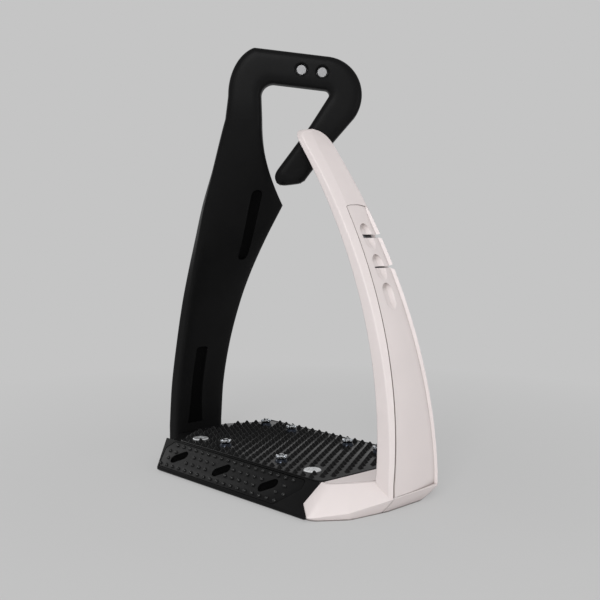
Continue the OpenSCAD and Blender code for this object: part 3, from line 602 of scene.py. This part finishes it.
# inner branch: twisting blade that runs on into the eye and its hook
branch = {
    "reach": 65.5, "neck": 141.0, "thick": 8.0, "eyeThick": 9.4, "turn": 45.0, "barLen": 21.4, "hookLen": 41.8,
    "neckU": -17.6, "neckBack": 0.5, "neckHalf": 7.8, "rearPoint": (-15.5, 11.5), "cornerShare": 0.745,
    "shoulder": 9.7, "cornerR": 12.0, "hookR": 9.0, "barHeading": -7.0, "hookHeading": -127.0, "barHalf": 7.0,
    "cornerOut": 2.6, "cornerSkew": 1.87, "hookHalf": 6.0, "hookTrim": 0.8, "hookTilt": 7.0, "hookEase": 2.2,
    "tipFrom": 0.85, "neckCurve": (1.4, 1.8), "sharp": 40, "lastSharp": 34,
    "trimBox": ((-2, -6, -4), (12, 6, 0)), "bladePower": 6.0, "eyePower": 4.4, "points": 80, "pinD": 4.8,
    "pinSink": 1.2, "pinFrom": (10.7, 1.9), "pinEase": (0.5, 0.35), "holeEase": (1.2, 0.5, 0.6),
    "groove": (1.0, 38.6), "grooveHalf": (4.4, 3.4), "grooveFore": 3.4, "grooveFlare": 12.0, "grooveEnd": 1.6,
    "grooveDeep": 1.0, "pocketUnder": 9.0, "pocketReach": 15.6, "pocketHalf": 2.4, "pocketFromEdge": 8.5,
    "pocketDeep": 1.2, "pocketEnd": 0.8, "recessUnder": 0.5, "recessMost": 2.0, "recessEdge": 2.5, "recessTo": 0.9,
}
eyeTurn, barHeading, hookHeading = math.radians(branch["turn"]), branch["barHeading"], branch["hookHeading"]
neckDir = Vector((math.cos(eyeTurn), math.sin(eyeTurn), 0))
eyeOut = Vector((neckDir.y, -neckDir.x, 0))
neckFront = neckDir * (branch["neckU"] - branch["neckBack"] - branch["neckHalf"])
neckRear = neckDir * (branch["neckU"] - branch["neckBack"] + branch["neckHalf"])
cornerZ = branch["cornerShare"] * branch["neck"]
# edges of the blade: share of its height, share of the way in from its reach, Y
frontPath = [(0, 0, -14), (0.14, 0.045, -14), (0.285, 0.145, -14.4), (0.425, 0.28, -15.6), (0.53, 0.415, -17.2),
             (0.64, 0.575, -19.2), (0.745, 0.71, -20.2), (0.85, 0.835, -19.6), (1, 1, neckFront.y)]
rearPath = [(0, 0, 14), (0.14, 0.042, 14), (0.285, 0.14, 14.4), (0.425, 0.295, 14.8), (0.53, 0.505, 13.1),
            (0.64, 0.775, 11), (branch["cornerShare"], 1, branch["rearPoint"][1])]


def along(path, s):  # smooth curve through a path's rows
    i = max([k for k in range(len(path) - 1) if path[k][0] <= s] or [0])

    def slope(k):
        a, b = path[max(k - 1, 0)], path[min(k + 1, len(path) - 1)]
        return [(b[c] - a[c]) / (b[0] - a[0]) for c in (1, 2)]
    h = path[i + 1][0] - path[i][0]
    w = (s - path[i][0]) / h
    return [path[i][c] * (1 + 2 * w) * (1 - w) ** 2 + slope(i)[c - 1] * h * w * (1 - w) ** 2
            + path[i + 1][c] * w * w * (3 - 2 * w) + slope(i + 1)[c - 1] * h * w * w * (w - 1) for c in (1, 2)]


def bladeFrame(z):
    share = max(z, 0) / branch["neck"]
    v = along(frontPath, share)
    front = Vector((mix(-branch["reach"], neckFront.x, v[0]), v[1], 0))
    if z <= cornerZ:
        v = along(rearPath, share)
        rear = Vector((mix(-branch["reach"], branch["rearPoint"][0], v[0]), v[1], 0))
    else:
        left = max(0, 1 - (z - cornerZ) / (branch["neck"] - cornerZ))
        rear = Vector((mix(neckRear.x, branch["rearPoint"][0], left ** branch["neckCurve"][0]),
                       mix(neckRear.y, branch["rearPoint"][1], left ** branch["neckCurve"][1]), 0))
    wide = (rear - front).normalized()
    return (front + rear) / 2 + up * (z + tread), wide, Vector((wide.y, -wide.x, 0)), (rear - front).length / 2


def bladeTurn(z):
    return (max(z, 0) / branch["neck"]) ** 2


def bladeThick(z):
    return mix(branch["thick"], branch["eyeThick"], bladeTurn(z))


def heading(h):
    return Vector((math.cos(math.radians(h)), math.sin(math.radians(h))))


def leftOf(h):
    return Vector((-math.sin(math.radians(h)), math.cos(math.radians(h))))


def inEye(p):
    return neckDir * p[0] + up * (p[1] + tread)


turnOne = Vector((branch["neckU"] + branch["cornerR"], branch["neck"] + branch["shoulder"]))
barFrom = turnOne + branch["cornerR"] * leftOf(barHeading)
barTo = barFrom + branch["barLen"] * heading(barHeading)
turnTwo = barTo - branch["hookR"] * leftOf(barHeading)
hookFrom = turnTwo + branch["hookR"] * leftOf(hookHeading)
hookTo = hookFrom + branch["hookLen"] * heading(hookHeading)


def eyeRing(p, h, half, thick):
    across = -(neckDir * leftOf(h)[0] + up * leftOf(h)[1])
    return superRing(inEye(p), across, eyeOut, half, thick / 2, branch["eyePower"], branch["points"])


def branchRings():
    rings = []
    for z in span(-tread, cornerZ, 90) + span(cornerZ + 0.8, branch["neck"], 34):
        c, wide, thick, half = bladeFrame(z)
        power = mix(branch["bladePower"], branch["eyePower"], bladeTurn(z))
        rings.append(superRing(c, wide, thick, half, bladeThick(z) / 2, power, branch["points"]))
    for h in span(90, barHeading, 48):
        share = (90 - h) / (90 - barHeading)
        toBar = 1 / max(math.cos(math.radians(h - barHeading)), 0.1) - 1
        swell = min(branch["cornerOut"] * math.sin(math.pi * share ** branch["cornerSkew"]),
                    (branch["cornerR"] + branch["barHalf"]) * toBar) / 2
        rings.append(eyeRing(turnOne + (branch["cornerR"] + swell) * leftOf(h), h, branch["barHalf"] + swell,
                             branch["eyeThick"]))
    for h in span(barHeading, hookHeading, 40):
        rings.append(eyeRing(turnTwo + branch["hookR"] * leftOf(h), h, branch["barHalf"], branch["eyeThick"]))
    for t in span(0.05, branch["tipFrom"], 20):
        rings.append(eyeRing(mix(hookFrom, hookTo, t), hookHeading,
                             mix(branch["barHalf"], branch["hookHalf"], min(1, 3 * t)), branch["eyeThick"]))
    for t in span(0.1, 1, 14):
        rings.append(eyeRing(mix(hookFrom, hookTo, mix(branch["tipFrom"], 1, t)), hookHeading,
                             branch["hookHalf"] * tipRound(t), branch["eyeThick"] * tipRound(t)))
    return rings


# ring of a recess in the blade's outer face, set to the rear of its middle
def recessRing(z, rear, half, deep):
    c, wide, thick = bladeFrame(z)[:3]
    return superRing(c + wide * rear + thick * bladeThick(z) / 2, wide, thick, half, deep, 4, 20)


def grooveCutter():
    rings, end = [], branch["grooveEnd"]
    low, high = branch["groove"]
    for z in span(low, high - end - 0.4, 24) + span(high - end, high, 8):
        size = mix(*branch["grooveHalf"], min(1, (z - low) / branch["grooveFlare"]))
        size *= tipRound(max(0, (z - high + end) / end))
        rings.append(recessRing(z, -branch["grooveFore"], size, branch["grooveDeep"]))
    return loftPiece("groove", rings)


def pocketCutter():
    def rearPoint(z):
        c, wide, thick, half = bladeFrame(z)
        return c + wide * (half - branch["pocketFromEdge"]) + thick * bladeThick(z) / 2

    rings, middle, reach = [], cornerZ - branch["pocketUnder"], branch["pocketReach"]
    low, high = rearPoint(middle - reach), rearPoint(middle + reach)
    for t in span(-1, 1, 60):
        z = middle + reach * t
        c, wide = bladeFrame(z)[:2]
        rear = (mix(low, high, (t + 1) / 2) - c).dot(wide)  # straight, though the blade's edge is not
        end = tipRound(0.98 * max(0, abs(t) - branch["pocketEnd"]) / (1 - branch["pocketEnd"]))
        rings.append(recessRing(z, rear, branch["pocketHalf"] * end, branch["pocketDeep"]))
    return loftPiece("pocket", rings)


pinSpots = [barFrom + (branch["barLen"] - a) * heading(barHeading) for a in branch["pinFrom"]]
eyeTurnMatrix = Matrix.Rotation(eyeTurn, 4, "Z") @ Matrix.Rotation(math.pi / 2, 4, "X")


def roundPin(name, spot, profile, n=40):
    place = Matrix.Translation(inEye(spot)) @ eyeTurnMatrix
    return loftPiece(name, [[place @ Vector((*p, z)) for p in circle(r, n)] for r, z in profile], 30)


hookCut = (Matrix.Translation(inEye((hookTo[0], hookTo[1] + branch["hookTrim"])) * mm)
           @ Matrix.Rotation(eyeTurn, 4, "Z")
           @ Matrix.Rotation(-math.radians(branch["hookTilt"]), 4, "Y"))


def hookCutter():
    trim = boxPiece("trim", *branch["trimBox"])  # takes in the tip, clear of the blade
    trim.data.transform(hookCut)
    return trim


def easeHook(body):
    bm = bmesh.new()
    bm.from_mesh(body.data)
    toCut = hookCut.inverted()
    rim = [e for e in bm.edges if all(abs((toCut @ v.co).z) < 2e-6 for v in e.verts) and e.calc_face_angle(0) > 0.5]
    bmesh.ops.bevel(bm, geom=rim, offset=branch["hookEase"] * mm, segments=5, profile=0.5, affect="EDGES")
    bm.to_mesh(body.data)
    bm.free()


def inRecess(p):
    z = p.z - tread
    if not 0 < z < branch["neck"] * branch["recessTo"]:
        return False
    c, wide, thick, half = bladeFrame(z)
    deep, inner = bladeThick(z) / 2 - (p - c).dot(thick), half - branch["recessEdge"]
    return branch["recessUnder"] < deep < branch["recessMost"] and abs((p - c).dot(wide)) < inner


def makeBranch():
    body = loftPiece("innerBranch", branchRings(), branch["sharp"])
    for cutter in (hookCutter(), grooveCutter(), pocketCutter()):
        combine(body, cutter, sharp=branch["sharp"])
    hole, face = branch["pinD"] / 2 + stirrup["fit"], branch["eyeThick"] / 2
    wider, inside, past = branch["holeEase"]
    profile = [(hole + wider, -face - past), (hole, -face + inside), (hole, face - inside),
               (hole + wider, face + past)]
    for spot in pinSpots:
        combine(body, roundPin("hole", spot, profile), sharp=branch["sharp"])
    easeHook(body)
    smoothByAngle(body, branch["lastSharp"])  # under the angle at the holes' mouths
    dress(body, "black_composite", "black_composite", "recess_painted_shade")
    # faces sunk in the groove and pocket take the darker black: painted shade
    for face in body.data.polygons:
        face.material_index = int(inRecess(face.center / mm))
    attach(body, "frame")
    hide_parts("inner_branch")


def makePins():
    r, face = branch["pinD"] / 2, branch["eyeThick"] / 2 - branch["pinSink"]
    a, b = branch["pinEase"]
    profile = [(r - a, -face), (r, -face + b), (r, face - b), (r - a, face)]
    pins = joinPieces("eyePins", [roundPin("pin", spot, profile) for spot in pinSpots])
    smoothByAngle(pins, 30)
    dress(pins, "polished_steel", "pin_steel")
    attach(pins, "frame")
    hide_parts("eye_pins")


makeBranch()
makePins()
print("inner branch and pins made")

# outer arm: one flexible moulding with its foot, its inlay and the leaf inside it
arm = {
    "height": 136.0, "thick": (8.8, 4.6), "rootHalf": 14.9, "tipHalf": 8.2, "tipLen": 8.0, "tipFrom": 7.4,
    "bottom": -5.0,
    "rimFall": 0.2, "frontBack": 0.12, "edgeRound": 0.3, "panelFront": (2.6, 5.0), "panelRear": 1.9,
    "panelSink": 0.2, "panelDeep": 2.55, "panelFit": 0.1, "panelTop": 104.0, "panelBottom": -4.6,
    "panelCorner": 0.7, "arch": 0.6, "archReach": 14.0, "seam": 0.38, "seamDeep": 0.8, "topSeam": 0.1,
    "rearSeam": 0.05, "dip": (1.5, 0.4), "dipEnd": 9.0, "dipFrom": 0.2, "dipPower": 1.7, "rimSlope": 0.7,
    "reliefZ": (92.0, 80.0, 69.0), "reliefLen": 10.2, "reliefW": 6.4, "reliefDepth": 1.6,
    "reliefWalls": (0.12, 0.28), "reliefEnds": (1.4, 2.6), "reliefY": 1.1, "reliefOver": 0.05, "reliefOut": 1.5,
    "slit": ((1.5, 0.9), (0.5, 0.9)), "slitEnd": 21.0, "slitCut": 4.0, "notchHalf": 2.2, "notchDepth": 2.4,
    "leafHalf": 6.0, "leafThick": 1.2, "leafShare": 0.6, "leafTop": 124.0, "leafFoot": 7.5, "leafBack": 18.4,
    "leafClear": 0.5, "bend": (20.0, 85.0),
}
# how far the arm leans in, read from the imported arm's tip
armLean = stirrup["armReach"] - arm["thick"][1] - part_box("arm_shell")[0].x / mm


def armOuter(z):
    return stirrup["armReach"] - armLean * (max(z, 0) / arm["height"]) ** 2


def armHalf(z):
    share = 1 - min(max(z, 0), arm["height"]) / arm["height"]
    return mix(arm["tipHalf"], arm["rootHalf"], share ** 1.5)


def armDepth(z):
    return mix(*arm["thick"], max(z, 0) / arm["height"])


def frontRim(z):
    return mix(*arm["panelFront"], max(z, 0) / arm["panelTop"])


def armRing(z):
    half = armHalf(z) * tipRound(max(0, (z - arm["height"] + arm["tipLen"]) / arm["tipLen"]))
    x, depth = armOuter(z), armDepth(z)
    rim, fall = min(0.96 * frontRim(z), 0.7 * half), arm["rimFall"] * depth
    small = min(arm["edgeRound"] * depth, 0.45 * half)
    front = -half + arm["frontBack"] * (depth - arm["thick"][1] / 2)
    outline = roundedOutline([(x - fall, front), (x, front + rim), (x, half), (x - depth, half), (x - depth, front)],
                             [min(0.8, 0.2 * half), rim, small, small, min(1.0, 0.3 * half)], 8)
    return [Vector((p.x, p.y, z + tread)) for p in outline]


# the inlay's bed: front and rear Y at a height, drawn in at its top corners
def panelEdges(z, top, grow):
    corner = arm["panelCorner"]
    inset = corner - math.sqrt(corner ** 2 - max(0, corner - (top - z)) ** 2)
    return -armHalf(z) + frontRim(z) - grow + inset, armHalf(z) - arm["panelRear"] - inset


def panelPoint(y, depth, z, top, edges):
    share = min(1, max(0, (y - edges[0]) / (edges[1] - edges[0])))
    z += arm["arch"] * max(0, 1 - (top - z) / arm["archReach"]) ** 2 * 4 * share * (1 - share)
    return Vector((armOuter(z) - depth, y, z + tread))


def rearDip(z):
    return mix(*arm["dip"], max(0, 1 - (arm["panelTop"] - z) / arm["dipEnd"]) ** 2)


def bedRing(z):
    top = arm["panelTop"] + arm["topSeam"]
    edges = panelEdges(z, top, arm["seam"])
    low, high, dip = edges[0], edges[1] + arm["rearSeam"], rearDip(z)
    section = [(mix(low, high, t), -1) for t in span(0, 1, 12)]
    section += [(high + arm["rimSlope"] * (1 + dip), -1), (high, dip), (high, arm["panelDeep"])]
    section += [(mix(high, low, t), arm["panelDeep"]) for t in span(0, 1, 12)[1:]]
    return [panelPoint(y, depth, z, top, edges) for y, depth in section]


def inlayDepth(y, z):
    edges = panelEdges(z, arm["panelTop"], 0)
    share = (y - edges[0]) / (edges[1] - edges[0])
    share = max(0, (share - arm["dipFrom"]) / (1 - arm["dipFrom"]))
    return mix(arm["panelSink"], rearDip(z), share ** arm["dipPower"])


def inlayRing(z):
    edges = panelEdges(z, arm["panelTop"], 0)
    section = [(y, inlayDepth(y, z)) for y in span(*edges, 24)]
    section += [(mix(edges[1], edges[0], t), arm["panelDeep"] - arm["panelFit"]) for t in span(0, 1, 12)]
    return [panelPoint(y, depth, z, arm["panelTop"], edges) for y, depth in section]


def panelHeights(bottom, top, n):
    corner = top - arm["panelCorner"]
    return span(bottom, corner, n) + span(corner, top, 8)[1:]


# scooped relief: sunk evenly into the inlay's face, running out at its foot
def scoopCutter(z):
    rings, r, reach = [], arm["reliefW"] / 2, arm["reliefLen"] / 2
    for t in span(-0.5, 0.5, 48):
        h = reach * math.sin(math.pi * t)
        half = r * max(1 - (max(0, abs(h) - reach + r) / r) ** 2, 0.0004) ** 0.5
        fromTop, fromFoot = (min(1, (reach - s * h) / end) for s, end in zip((1, -1), arm["reliefEnds"]))
        deep = arm["reliefDepth"] * max(fromTop, 0.001) ** 0.5 * max(fromFoot, 0.001) ** 0.8
        ring, level, x = [], z + h + tread, armOuter(z + h)
        for v in span(0, 1, 30):
            y = arm["reliefY"] + half * (2 * v - 1)
            wall = min(1, v / arm["reliefWalls"][0], (1 - v) / arm["reliefWalls"][1]) ** 0.8
            ring.append(Vector((x - inlayDepth(y, z + h) + arm["reliefOver"] - deep * wall, y, level)))
        x += arm["reliefOut"]
        rings.append(ring + [Vector((x, ring[-1].y, level)), Vector((x, ring[0].y, level))])
    return loftPiece("scoop", rings)


# cutter through the arm's outer face at a height, its outline in Y and Z
def throughArm(name, z, outline):
    x = armOuter(z)
    return loftPiece(name, [[Vector((px, y, z + tread + h)) for y, h in outline]
                            for px in (x - arm["slitCut"], x + arm["slitCut"])])


def slitCutter(i):
    start = arm["reliefY"] - arm["reliefW"] / 2
    inner, outer = (wide / 2 for wide in arm["slit"][i])
    return throughArm("slit", arm["reliefZ"][i], [(start, -inner), (arm["slitEnd"], -outer), (arm["slitEnd"], outer),
                                                  (start, inner)])


def leafRing(z, grow=0):
    middle = Vector((armOuter(z) - arm["leafShare"] * armDepth(z), 0, z + tread))
    return superRing(middle, Vector((0, 1, 0)), Vector((1, 0, 0)), min(arm["leafHalf"], armHalf(z) - 3) + grow,
                     arm["leafThick"] / 2 + grow, 12, 16)


# foot outlines: end X, lip Y, half the end's width, front and rear side corners; the edge climbs to the arm
foot = {"x": 40.0, "top": (63.8, 29.2, 14.0, (59.4, -22.0), (57.8, 22.0)),
        "edge": (72.1, 41.0, 14.0, (64.0, -28.6), (61.8, 25.6)),
        "low": (66.4, 38.2, 10.0, (63.0, -27.0), (62.0, 23.0)), "round": 5.0, "edgeLow": 1.8, "climb": 5.2,
        "bow": 2.2, "ease": 0.4, "ledge": (62.9, 28.2, 13.4, (58.5, -21.4), (56.9, 21.4)),
        "ledgeTop": (62.0, 27.3, 12.8, (57.6, -20.6), (56.0, 20.6)), "ledgeSink": 1.2, "ledgeDrop": 0.1,
        "roomHalf": 12.15, "roomTop": 9.25, "tongueRoom": (1.45, 63.55), "clampRoom": (4.5, 68.0),
        "cutY": 82, "cutZ": (-5, 30), "sharp": 20, "easedSharp": 24}


def footPlan(row):
    x, y, half, front, rear = foot[row]
    return roundedOutline([(foot["x"], -y), (footCorner[0], -y), front, (x, -half), (x, half), rear,
                           (rearCorner[0], y), (foot["x"], y)], foot["round"])


def edgeHeight(x):
    share = max(0, (x - footCorner[0]) / (foot["edge"][0] - footCorner[0]))
    return foot["edgeLow"] + foot["climb"] * share ** foot["bow"]


def makeFoot():
    body = loftPiece("outerArm", [[Vector((p.x, p.y, tread)) for p in footPlan("top")],
                                  [Vector((p.x, p.y, edgeHeight(p.x))) for p in footPlan("edge")],
                                  [Vector((p.x, p.y, 0)) for p in footPlan("low")]], foot["sharp"])
    gap = stirrup["fit"]
    far = foot["cutY"]
    cutPlan = [(0, -far), (footCorner[0] + gap, -far)] + [(p[0] + gap, p[1]) for p in baseEnd] + [
        (rearCorner[0] + gap, far), (0, far)]
    combine(body, prismPiece("baseEnd", cutPlan, *foot["cutZ"]), sharp=foot["sharp"])
    sharp = foot["easedSharp"]
    easeEdges(body, foot["ease"], 2, sharp, sharp)
    combine(body, prismPiece("ledge", footPlan("ledge"), tread - foot["ledgeSink"], tread + 2), sharp=sharp)
    combine(body, prismPiece("ledgeTop", footPlan("ledgeTop"), tread - 2, tread - foot["ledgeDrop"]), "UNION", sharp)
    combine(body, prismPiece("baseEnd", cutPlan, *foot["cutZ"]), sharp=sharp)
    return body


# the inlay's front seam, carried down the foot's chamfer
def seamCutter():
    low, high, deep = foot["low"][0], foot["edge"][0], arm["seamDeep"]
    y, z = -armHalf(0) + frontRim(0), foot["edgeLow"] + foot["climb"]
    section = [(low - deep - 0.4, -0.5), (high - deep, z), (high - deep, z + 1.5), (high + 2, z + 1.5),
               (high + 2, -0.5)]
    return loftPiece("seam", [[Vector((px, py, pz)) for px, pz in section] for py in (y - arm["seam"], y)])


def makeArm():
    skin = makeFoot()
    top = arm["height"]
    zs = span(arm["bottom"], top - arm["tipLen"], 96) + span(top - arm["tipFrom"], top, 14)
    combine(skin, loftPiece("armBody", [armRing(z) for z in zs]), "UNION")
    zs = panelHeights(arm["panelBottom"], arm["panelTop"] + arm["topSeam"], 80)
    combine(skin, loftPiece("bed", [bedRing(z) for z in zs]))
    combine(skin, seamCutter())
    for i, z in enumerate(arm["reliefZ"][:2]):
        combine(skin, slitCutter(i))
        y, n = armHalf(z), arm["notchHalf"]
        combine(skin, throughArm("notch", z, [(y - arm["notchDepth"], 0), (y + 1, n), (y + 1, -n)]))
    combine(skin, loftPiece("leafRoom", [leafRing(z, stirrup["fit"])
                                         for z in span(-arm["leafFoot"], arm["leafTop"] + arm["leafClear"], 60)]))
    for room in ("tongueRoom", "clampRoom"):
        low, end = foot[room]
        combine(skin, boxPiece(room, (foot["x"], -foot["roomHalf"], low), (end, foot["roomHalf"], foot["roomTop"])))
    dress(skin, "white_composite")
    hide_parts("outer_foot", "arm_shell")
    return skin


def makeInlay():
    zs = panelHeights(arm["panelBottom"] + arm["panelFit"], arm["panelTop"], 100)
    inlay = loftPiece("armInlay", [inlayRing(z) for z in zs])
    for z in arm["reliefZ"]:
        combine(inlay, scoopCutter(z))
    for i in range(2):
        combine(inlay, slitCutter(i))
    dress(inlay, "white_composite", "inlay_composite")
    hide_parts("foot_panel", "arm_panel")
    return inlay


def makeLeaf():
    leaf = loftPiece("springLeaf", [leafRing(z) for z in span(-arm["leafFoot"], arm["leafTop"], 80)])
    rootX = armOuter(0) - arm["leafShare"] * arm["thick"][0] + arm["leafThick"] / 2
    low = tread - arm["leafFoot"]
    combine(leaf, boxPiece("leafFoot", (stirrup["armReach"] - arm["leafBack"], -arm["leafHalf"], low),
                           (rootX, arm["leafHalf"], low + arm["leafThick"])), "UNION")
    dress(leaf, "spring_steel")
    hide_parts("spring_leaf")
    return leaf


for piece in (makeArm(), makeInlay(), makeLeaf()):
    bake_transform(piece)
print("outer arm, inlay and leaf made")

# floor, light and the photograph's viewpoint
studio = {"grey": 0.558, "camera": (0.28088, -0.26184, 0.10921), "back": (0.71837, -0.69031, 0.08612),
          "lens": 53.39, "sensor": 36.0, "behind": 0.6, "around": 0.52, "turn": (0.5, 0.9), "backdrop": 0.8,
          "floorHalf": 6000, "shadow": (0.10, 0.30), "shadowShare": 0.35, "bounce": 0.75, "aim": (0, 0, 0.08),
          "floorRough": 0.9, "clip": 0.01,
          "keyLight": ((0.50, -0.70, 0.54), 4.6, 0.35), "rimLight": ((0.98, 0.1, 0.1), 1.4, 0.4),
          "sideLight": ((-0.30, -0.09, 0.17), 0.1, 0.14)}


def makeFloor(grey):
    far = studio["floorHalf"]
    floor = meshPiece("floor", [(-far, -far, 0), (far, -far, 0), (far, far, 0), (-far, far, 0)], [(0, 1, 2, 3)])
    material, tree, shader = newMaterial("paleFloor")
    flat, blend, path = addNodes(tree, "Emission", "MixShader", "LightPath")
    feed(tree, flat, {"Color": grey})
    # paler for the light it throws back up than for the camera
    toCamera = path.outputs["Is Camera Ray"]
    tone = layColour(tree, (studio["bounce"],) * 3 + (1,), toCamera, grey[:3])
    feed(tree, shader, {"Base Color": tone, "Roughness": studio["floorRough"], "Specular IOR Level": 0.0})
    # the lit floor, with the shadow on it, fades into the flat tone away from the object
    place, reach, fade = addNodes(tree, "NewGeometry", "VectorMath", "MapRange")
    reach.operation = "LENGTH"
    feed(tree, reach, {0: place.outputs["Position"]})
    feedRange(tree, fade, reach.outputs["Value"], studio["shadow"], (1 - studio["shadowShare"], 1))
    seen = addMath(tree, "MULTIPLY", toCamera, fade.outputs["Result"])
    feed(tree, blend, {"Fac": seen, 1: shader.outputs[0], 2: flat.outputs[0]})
    feed(tree, tree.nodes["Material Output"], {"Surface": blend.outputs[0]})
    floor.data.materials.append(material)


def makeWorld(grey):
    world = bpy.data.worlds.new("studio")
    bpy.context.scene.world = world
    world.use_nodes = True
    tree = world.node_tree
    light = tree.nodes["Background"]
    path, pale, choose = addNodes(tree, "LightPath", "Background", "MixShader")
    # a lit backdrop behind the object, a dimmer room in front of it
    coords, facing, ramp = addNodes(tree, "TexCoord", "VectorMath", "MapRange")
    facing.operation = "DOT_PRODUCT"
    feed(tree, facing, {0: coords.outputs["Generated"], 1: (-studio["back"][0], -studio["back"][1], 0)})
    feedRange(tree, ramp, facing.outputs["Value"], studio["turn"], (studio["around"], studio["behind"]))
    feed(tree, light, {"Color": (1, 1, 1, 1), "Strength": ramp.outputs["Result"]})
    feed(tree, pale, {"Color": grey})
    # the camera sees the plain tone, and so do reflections of the backdrop
    behind = addMath(tree, "GREATER_THAN", facing.outputs["Value"], studio["backdrop"])
    mirrored = addMath(tree, "MULTIPLY", path.outputs["Is Glossy Ray"], behind)
    direct = addMath(tree, "MAXIMUM", path.outputs["Is Camera Ray"], path.outputs["Is Transmission Ray"])
    feed(tree, choose, {"Fac": addMath(tree, "MAXIMUM", direct, mirrored), 1: light.outputs[0], 2: pale.outputs[0]})
    feed(tree, tree.nodes["World Output"], {"Surface": choose.outputs[0]})


def makeStudio():
    scene = bpy.context.scene
    scene.view_settings.view_transform = "Standard"
    grey = (studio["grey"],) * 3 + (1,)
    makeFloor(grey)
    makeWorld(grey)
    for name in ("keyLight", "rimLight", "sideLight"):
        place, power, size = studio[name]
        lamp = bpy.data.lights.new(name, "AREA")
        lamp.energy, lamp.size = power, size
        obj = addObject(name, lamp)
        obj.location, obj.visible_camera = place, False
        obj.rotation_euler = (Vector(studio["aim"]) - Vector(place)).to_track_quat("-Z", "Y").to_euler()
    camera = bpy.data.cameras.new("camera")
    camera.lens, camera.sensor_width, camera.clip_start = studio["lens"], studio["sensor"], studio["clip"]
    eye = addObject("camera", camera)
    back = Vector(studio["back"]).normalized()
    right = up.cross(back).normalized()
    turn = Matrix((right, back.cross(right), back)).transposed()
    eye.matrix_world = Matrix.Translation(studio["camera"]) @ turn.to_4x4()
    scene.camera = eye


makeStudio()
